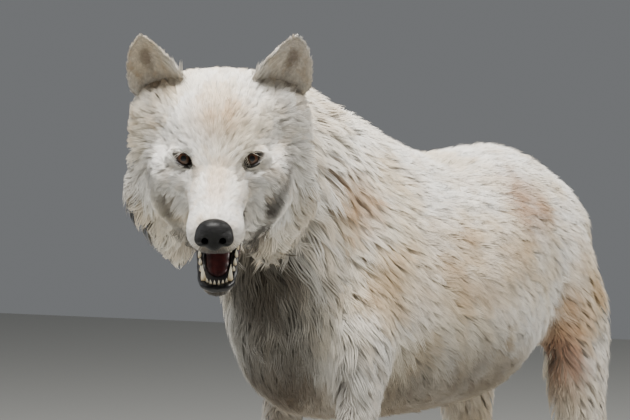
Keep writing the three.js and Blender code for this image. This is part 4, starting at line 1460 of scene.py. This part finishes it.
# rings: the iris's dark edge, the brown white of the eye, the pupil
for start, end, tint in ((IRIS_R - 1.3, IRIS_R - 0.1, paint(13, 9, 7)), (IRIS_R + 0.1, IRIS_R + 1.4, paint(44, 31, 27)),
                         (PUPIL_R + 0.25, PUPIL_R - 0.15, (0.002, 0.002, 0.002, 1))):
    iris = mix(tree, ramp01(tree, reach, start, end), iris, tint)
EYE.feed("Base_Color", iris)
turn = circle(64)
for side, centre in EYE_C.items():
    gaze = unit(np.array([[np.sign(centre[0]) * 0.10, -0.94, 0.30]]))[0]
    right = unit(np.cross([[0, 0, 1.0]], gaze))[0]
    over = np.cross(gaze, right)
    loops, distance = [], []
    for theta in np.concatenate([np.linspace(0.02, 0.75, 22), np.linspace(0.8, math.pi - 0.02, 26)]):
        off = EYE_R * math.sin(theta)
        radius = EYE_R - 0.25 + 0.7 * math.exp(-(off / (IRIS_R * 0.95)) ** 4) * (theta < 1.5)
        ring = gaze * math.cos(theta) + math.sin(theta) * (np.cos(turn)[:, None] * right + np.sin(turn)[:, None] * over)
        loops.append(centre + ring * radius)
        distance += [off if theta < math.pi / 2 else 2 * EYE_R - off] * len(turn)
    finish_piece("eye_ball_" + side, [loft(loops, True)], EYE, "eye", "eye_" + side,
                 values={"from_pupil": distance, "around_pupil": np.tile(np.abs(turn / np.pi - 1), len(loops))})

# %% Lids
LID = Look("lid", 0.42)
haired = mix(LID.tree, 0.45, markings_at(LID, LID.coords), paint(104, 86, 70))
LID.mottle(LID.stored("rim"), 0.25, 0.75, haired, paint(24, 18, 16))
LID.bump(LID.noise(700.0, 2.0), 0.0004, 0.5)
# mm out from the slit | radius of the lid there | how black
LID_LOOPS = ((-0.2, 11.9, 1), (0.0, 12.9, 1), (0.5, 14.1, 1), (1.2, 15.1, 1), (2.2, 15.8, 1),
             (3.4, 15.9, 0.45), (5.0, 15.3, 0.1), (8.0, 13.2, 0), (10.0, 10.5, 0))
almond = slit_loop(96)
outward = unit(almond * np.array([0.55, 1.0]))
for side, centre in EYE_C.items():
    out, along, up = eye_axes(side)
    loops, rims = [], []
    for away, radius, black in LID_LOOPS:
        fold = 0.35 * np.exp(-((away - 3.4) / 1.0) ** 2) * (almond[:, 1] > 0)
        flat = almond + outward * away
        size = np.linalg.norm(flat, axis=1)
        limit = radius * 0.86
        rise = np.where(size < limit, np.sqrt(np.maximum(radius ** 2 - size ** 2, 0)),
                        radius * 0.51 - 0.95 * (size - limit))
        loops.append(centre + flat[:, :1] * along + flat[:, 1:] * up + (rise - fold)[:, None] * out)
        corner = np.clip((almond[:, 0] / SLIT - 0.6) / 0.35, 0, 1) * (away < 5.5)
        rims += list(np.maximum(black, 0.9 * corner))
    finish_piece("lids_" + side, [loft(loops)], LID, "coat", values={"rim": rims})

# %% [markdown]
# ## Nose
# The nose pad is bare black leather, domed, split by a groove below, with two
# comma-shaped nostrils that open to the sides, and its skin is a net of tiny
# cobbles. It is carved from a fine field of its own: a dome, two wings, minus
# the nostrils and the groove, all melded with small radii, and then the
# cobbles come as bump from a cell pattern.

# %% Nose pad
NOSE = Look("nose", 0.38, Specular_IOR_Level=0.32)
NOSE.mottle(NOSE.noise(160.0, 3.0), 0.4, 0.7, paint(3, 3, 3), paint(8, 7, 8))
cobbles = NOSE.cells(620.0)
NOSE.feed("Roughness", ramp01(NOSE.tree, cobbles, 0.0, 0.2, 0.55, 0.38))
NOSE.bump(ramp01(NOSE.tree, cobbles, 0.0, 0.16), 0.0005)


def capsule(places, a, b, radius):
    a, b = np.array(a, float), np.array(b, float)
    line = b - a
    share = np.clip(((places - a) @ line) / (line @ line), 0, 1)
    return np.linalg.norm(places - a - share[..., None] * line, axis=-1) - radius


nose_grid = Grid((-26, -160, -56), (26, -116, -12), 0.9)
at = nose_grid.points().astype(float)
pad = ellipsoid(at, (0, -138.5, -33), (20, 15, 14.5))
for centre, radii, width in (((0, -140, -25.5), (15, 11, 7.5), 4), ((12.5, -144.5, -37), (8.5, 8.5, 8.5), 3),
                             ((-12.5, -144.5, -37), (8.5, 8.5, 8.5), 3), ((0, -145, -42), (9, 8.5, 8), 3)):
    pad = meld(pad, ellipsoid(at, centre, radii), width)
for sign in (1, -1):
    hole = meld(capsule(at, (sign * 9.2, -157, -37.0), (sign * 9.6, -144, -36), 3.4),
                capsule(at, (sign * 10, -155, -38.5), (sign * 20, -149, -43.0), 2.0), 1.6)
    pad = -meld(-pad, hole, 1.0)
pad = -meld(-pad, capsule(at, (0, -155, -36), (0, -153.5, -52), 0.7), 0.9)
finish_piece("nose_pad", [nose_grid.surface(soften(pad))], NOSE, "nose", "nose")

# %% [markdown]
# ## Mouth
# With the jaws parted, black lips frame the mouth, the lower canines stand at
# its corners with six small incisors between, and the tongue lies low between
# the cheek teeth. The lips follow the real edge of the skin: from inside each
# jaw a ray is sent out to find where the skin is, and a soft bar is laid
# through those places. Placing lips by eye would leave gaps at every turn.

# %% Lips along the edge of the skin
LIP = Look("lip", 0.34)
lumps = LIP.noise(260.0, 3.0)
LIP.mottle(lumps, 0.35, 0.7, paint(9, 8, 8), paint(24, 20, 20))
LIP.bump(lumps, 0.0012)


def skin_out(start, way):
    """Where a ray from inside, in the head's frame, leaves the skin."""
    places = np.array(start, float) + np.arange(0, 60, 0.25)[:, None] * unit(np.array([way], float))[0]
    outside = head_grid.sample(head_skin_field, from_head(places)) > 0
    return places[np.argmax(outside)] if outside.any() else places[-1]


def jaw_ray(start, way):
    here = jaw_to_head([start])[0]
    return skin_out(here, jaw_to_head([np.array(start, float) + way])[0] - here)


def both_sides(half):
    half = np.array(half)
    return np.concatenate([(half * [-1, 1, 1])[::-1], half[1:]])


upper_half = [skin_out((0, -108, -48), (math.sin(a), -math.cos(a), -0.95)) for a in np.radians([0, 22, 45, 68])]
upper_half += [skin_out((4, y, -50), (1.0, 0, -1.25)) for y in (-104, -92, -78, -64, -50, -38, -28, -20)]
lower_half = [jaw_ray((0, -94, -80), (math.sin(a), -math.cos(a), 0.62)) for a in np.radians([0, 25, 50, 72])]
lower_half += [jaw_ray((5, y, -82), (1.0, 0, 0.95)) for y in (-88, -74, -60, -46, -32, -20)]
corner = (upper_half[-1] + lower_half[-1]) / 2 + np.array([-1.5, 4, 0])
upper_line = curve_through(both_sides(upper_half + [corner]), 90)
lower_line = curve_through(both_sides(lower_half + [corner]), 90)
lip_wave = 0.35 * np.sin(np.linspace(0, 26 * np.pi, 90))
philtrum = [skin_out((0, -118, z), (0, -1, 0)) + np.array([0, 0.3, 0]) for z in (-46, -50, -54)]
finish_piece("lips", [pipe(upper_line + np.array([0, 0, 0.6]), 2.9 + 0.3 * lip_wave, 12, 0.9),
                      pipe(lower_line, 4.4 + lip_wave, 12, 0.95),
                      pipe(curve_through(philtrum + [upper_half[0]], 12), 1.3, 8)], LIP, "lip")

# %% Teeth
TOOTH = Look("tooth", 0.25)
TOOTH.mottle(TOOTH.stored("stain"), 0.25, 1.0, paint(236, 228, 206), paint(186, 160, 112))
TOOTH_RINGS = np.array([-0.25, 0.0, 0.2, 0.45, 0.7, 0.88, 0.97, 1.0])


def tooth(root, tip, wide, deep, bend):
    """A tapering horn from gum to point; bend bows it forwards."""
    root, tip = np.array(root, float), np.array(tip, float)
    loops, turn = [], circle(12)
    for t in TOOTH_RINGS:
        clear = max(t, 0)
        girth = max(0.04, (1 - clear ** 1.7)) * (0.8 if t < 0 else 1)
        centre = root + (tip - root) * t + np.array([0, -bend * 4 * clear * (1 - clear), 0])
        loops.append(centre + np.stack([np.cos(turn) * wide * girth, np.sin(turn) * deep * girth, 0 * turn], -1))
    return loft(loops, True)


# root | tip | half width | half depth | bend, for the wolf's left side: canine, incisors, cheek teeth
LOWER = [((14.2, -98, -70), (15.6, -99, -45), 3.3, 4.3, 3.0)]
LOWER += [((x, y, -69), (x * 1.04, y - 1.0, -59.5), 2.0, 1.9, 0.5)
          for x, y in ((2.3, -107.5), (6.6, -106.5), (10.4, -103.8))]
LOWER += [((x, y, -69), (x + 0.4, y, -69 + tall), 2.3, deep, 0.0) for x, y, deep, tall in
          ((17.5, -84, 3.2, 9), (18.8, -73, 4.6, 11), (20, -60, 5.2, 12), (21.2, -45, 7.0, 15), (22.5, -29, 5.0, 10))]
UPPER = [((15.8, -104, -52), (16.6, -105, -69), 3.3, 4.2, 3.0)]
UPPER += [((x, y, -52), (x * 1.02, y - 0.4, -58.5), 2.2, 2.0, 0.4)
          for x, y in ((2.6, -121), (7.2, -119.5), (11.4, -116.2))]
UPPER += [((x, y, -55), (x + 0.4, y, -55 - tall), 2.4, deep, 0.0) for x, y, deep, tall in
          ((18.5, -92, 3.4, 5), (19.8, -80, 4.8, 6), (21.2, -66, 5.4, 7), (22.8, -50, 8.0, 9), (24, -33, 5.0, 6))]
parts = []
for row, place in ((LOWER, jaw_to_head), (UPPER, np.asarray)):
    for sign in (1, -1):
        for root, tip, *size in row:
            v, f = tooth((sign * root[0], *root[1:]), (sign * tip[0], *tip[1:]), *size)
            parts.append((place(v), f))
stain = np.tile(np.repeat(1 - np.maximum(TOOTH_RINGS, 0), 12), len(parts))
finish_piece("teeth", parts, TOOTH, "tooth", values={"stain": stain})

# %% Gums, palate and tongue
GUM = Look("gum", 0.35)
GUM.mottle(GUM.noise(120.0, 3.0), 0.42, 0.6, paint(66, 30, 28), paint(26, 16, 16))
TONGUE = Look("tongue", 0.4, Coat_Weight=0.35, Coat_Roughness=0.2)
TONGUE.mottle(TONGUE.noise(60.0, 2.0), 0.35, 0.7, paint(92, 38, 36), paint(62, 25, 25))
TONGUE.bump(TONGUE.cells(900.0, "F1"), 0.0004, 0.5)

lower_gum = pipe(curve_through(both_sides([(0, -106, -69.5), (8, -104.5, -69.5), (14.5, -97, -69.5), (18, -80, -70),
                                           (20.5, -55, -70), (22.5, -26, -69)]), 60), 3.3, 10)
upper_gum = pipe(curve_through(both_sides([(0, -120, -53), (9, -117.5, -53), (16, -106, -53.5), (19, -88, -54.5),
                                           (21.8, -60, -55), (24, -30, -55)]), 60), 3.4, 10)
turn = np.linspace(0, 2 * np.pi, 17)[:-1]
FLOOR_LOOPS = ((-103, 9), (-96, 13), (-80, 15.5), (-60, 17.5), (-40, 19), (-20, 20), (-6, 20))
mouth_floor = loft([jaw_to_head(np.stack([half * np.cos(turn), y + 0 * turn, -74 + 3.0 * np.sin(turn)], -1))
                    for y, half in FLOOR_LOOPS], True)
parts = [(jaw_to_head(lower_gum[0]), lower_gum[1]), upper_gum, mouth_floor]
arch = np.cos(np.linspace(-1.4, 1.4, 13))
for y in np.linspace(-112, -30, 12):
    half = 11 + 7 * (y + 112) / 82
    parts.append(pipe(np.stack([np.linspace(-half, half, 13), y - 3 * arch, -52.5 + 5.5 * arch], -1), 2.6, 8, 0.8))
finish_piece("gums", parts, GUM, "lip")

# y | half width | height | crown of each loop
TONGUE_LOOPS = ((-90.5, 1.5, -70.5, 0.8), (-89, 6, -70, 1.8), (-84, 10, -69.5, 2.4), (-76, 12.0, -69, 3),
                (-62, 13.0, -68, 4), (-45, 13.6, -66, 5), (-25, 13.6, -64, 6), (-12, 12, -62, 5))
turn = circle(28)
over = np.sin(turn)
groove = 1.3 * np.exp(-(np.cos(turn) / 0.22) ** 2) * (over > 0)
blunt = np.sign(np.cos(turn)) * np.abs(np.cos(turn)) ** 0.8
loops = [jaw_to_head(np.stack([half * blunt, y + 0 * turn,
                               height + crown * np.where(over > 0, over, over * 1.2) - groove], -1))
         for y, half, height, crown in TONGUE_LOOPS]
finish_piece("tongue_lobe", [loft(loops, True)], TONGUE, "tongue", "tongue")

# %% [markdown]
# ## Claws and pads
# A wolf stands on bare leather pads and its blunt, dark claws show past the
# toes. Both are placed from the box of each paw's solid: its back edge and
# its middle line fix the same toe places that the solid was built on.

# %% Claws and pads
CLAW = Look("claw", 0.35)
dark_horn = mix(CLAW.tree, ramp01(CLAW.tree, CLAW.noise(420.0, 2.0), 0.35, 0.7), paint(38, 33, 30), paint(70, 62, 54))
CLAW.mottle(CLAW.stored("worn"), 0.6, 1.0, dark_horn, paint(120, 108, 92))
PAD = Look("pad", 0.7)
pebbles = PAD.cells(420.0)
PAD.mottle(pebbles, 0.0, 0.2, paint(26, 23, 22), paint(52, 47, 45))
PAD.bump(pebbles, 0.0008)

# each toe's x and y and how far behind it the claw starts, in mm
TOES = ((-29, -38, 25), (-10.5, -57, 27), (10.5, -57, 27), (29, -38, 25))
CLAW_RINGS = np.array([-0.45, -0.2, 0.0, 0.25, 0.5, 0.75, 0.92, 1.0])
# share of the pad's width | height above the floor
TOE_PAD = ((0.25, 0.0), (0.72, 0.0), (0.92, 1.2), (1.0, 3.6), (0.9, 7.0), (0.5, 9.5))
HEEL_PAD = ((0.3, 0.0), (0.78, 0.0), (0.94, 1.4), (1.0, 4.0), (0.92, 7.5), (0.6, 10.0))


def claw(root):
    """A worn, bent cone from a toe's root."""
    loops, turn = [], circle(12)
    for t in CLAW_RINGS:
        clear = max(t, 0)
        girth = max(0.12, 1 - clear ** 2.0 * 0.85)
        bow = np.array([0, 0, -3.2 * clear ** 2 + 0.8 * math.sin(math.pi * clear)])
        centre = root + np.array([0, -0.93, -0.30]) * 18 * t + bow
        loops.append(centre + np.stack([2.7 * girth * np.cos(turn), 0 * turn, 4.0 * girth * np.sin(turn)], -1))
    return loft(loops, True)


def cushion(x, y, wide, long, rings, turn, form=1.0):
    """A low round pad on the floor."""
    return loft([np.stack([x + wide * r * form * np.cos(turn), y + long * r * form * np.sin(turn), z + 0 * turn], -1)
                 for r, z in rings], True)


claws, pads = [], []
round_heel = circle(32)
heart = 1 + 0.13 * np.cos(3 * (round_heel + np.pi / 2))
for name in PAWS:
    low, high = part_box(name)
    scale = 1.0 if "fore" in name else 0.92
    origin = np.array([(low.x + high.x) / 2 / MM, high.y / MM - 30 * scale, 0.0])
    own_claws = [claw(np.array([x, y - back + 7, 16.0])) for x, y, back in TOES]
    own_pads = [cushion(x, y + 3, 8.6, 13, TOE_PAD, circle(20)) for x, y, _ in TOES]
    own_pads.append(cushion(0, -16, 21, 15, HEEL_PAD, round_heel, heart))
    for mine, every in ((own_claws, claws), (own_pads, pads)):
        every += [((v * scale + origin) * MM, f) for v, f in mine]
worn = np.tile(np.repeat(np.maximum(CLAW_RINGS, 0), 12), len(claws))
finish_piece("claws", claws, CLAW, "claw", place=np.asarray, values={"worn": worn})
finish_piece("pads", pads, PAD, "pad", place=np.asarray)

# %% [markdown]
# ## Riding and replacing
# The wolf is one body, so every piece rides on it. The skin and its coat hide
# the solids of the flesh and the ears, and the eyeballs, the nose pad and the
# tongue hide the solids that they replace.

# %% Ride, replace and finish
for piece in [skin, *COATS, *(piece for piece, _, _ in PIECES)]:
    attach(piece, "root")
for piece, slot, nodes in PIECES:
    if nodes:
        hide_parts(*nodes)
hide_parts(*FLESH, *EARS)
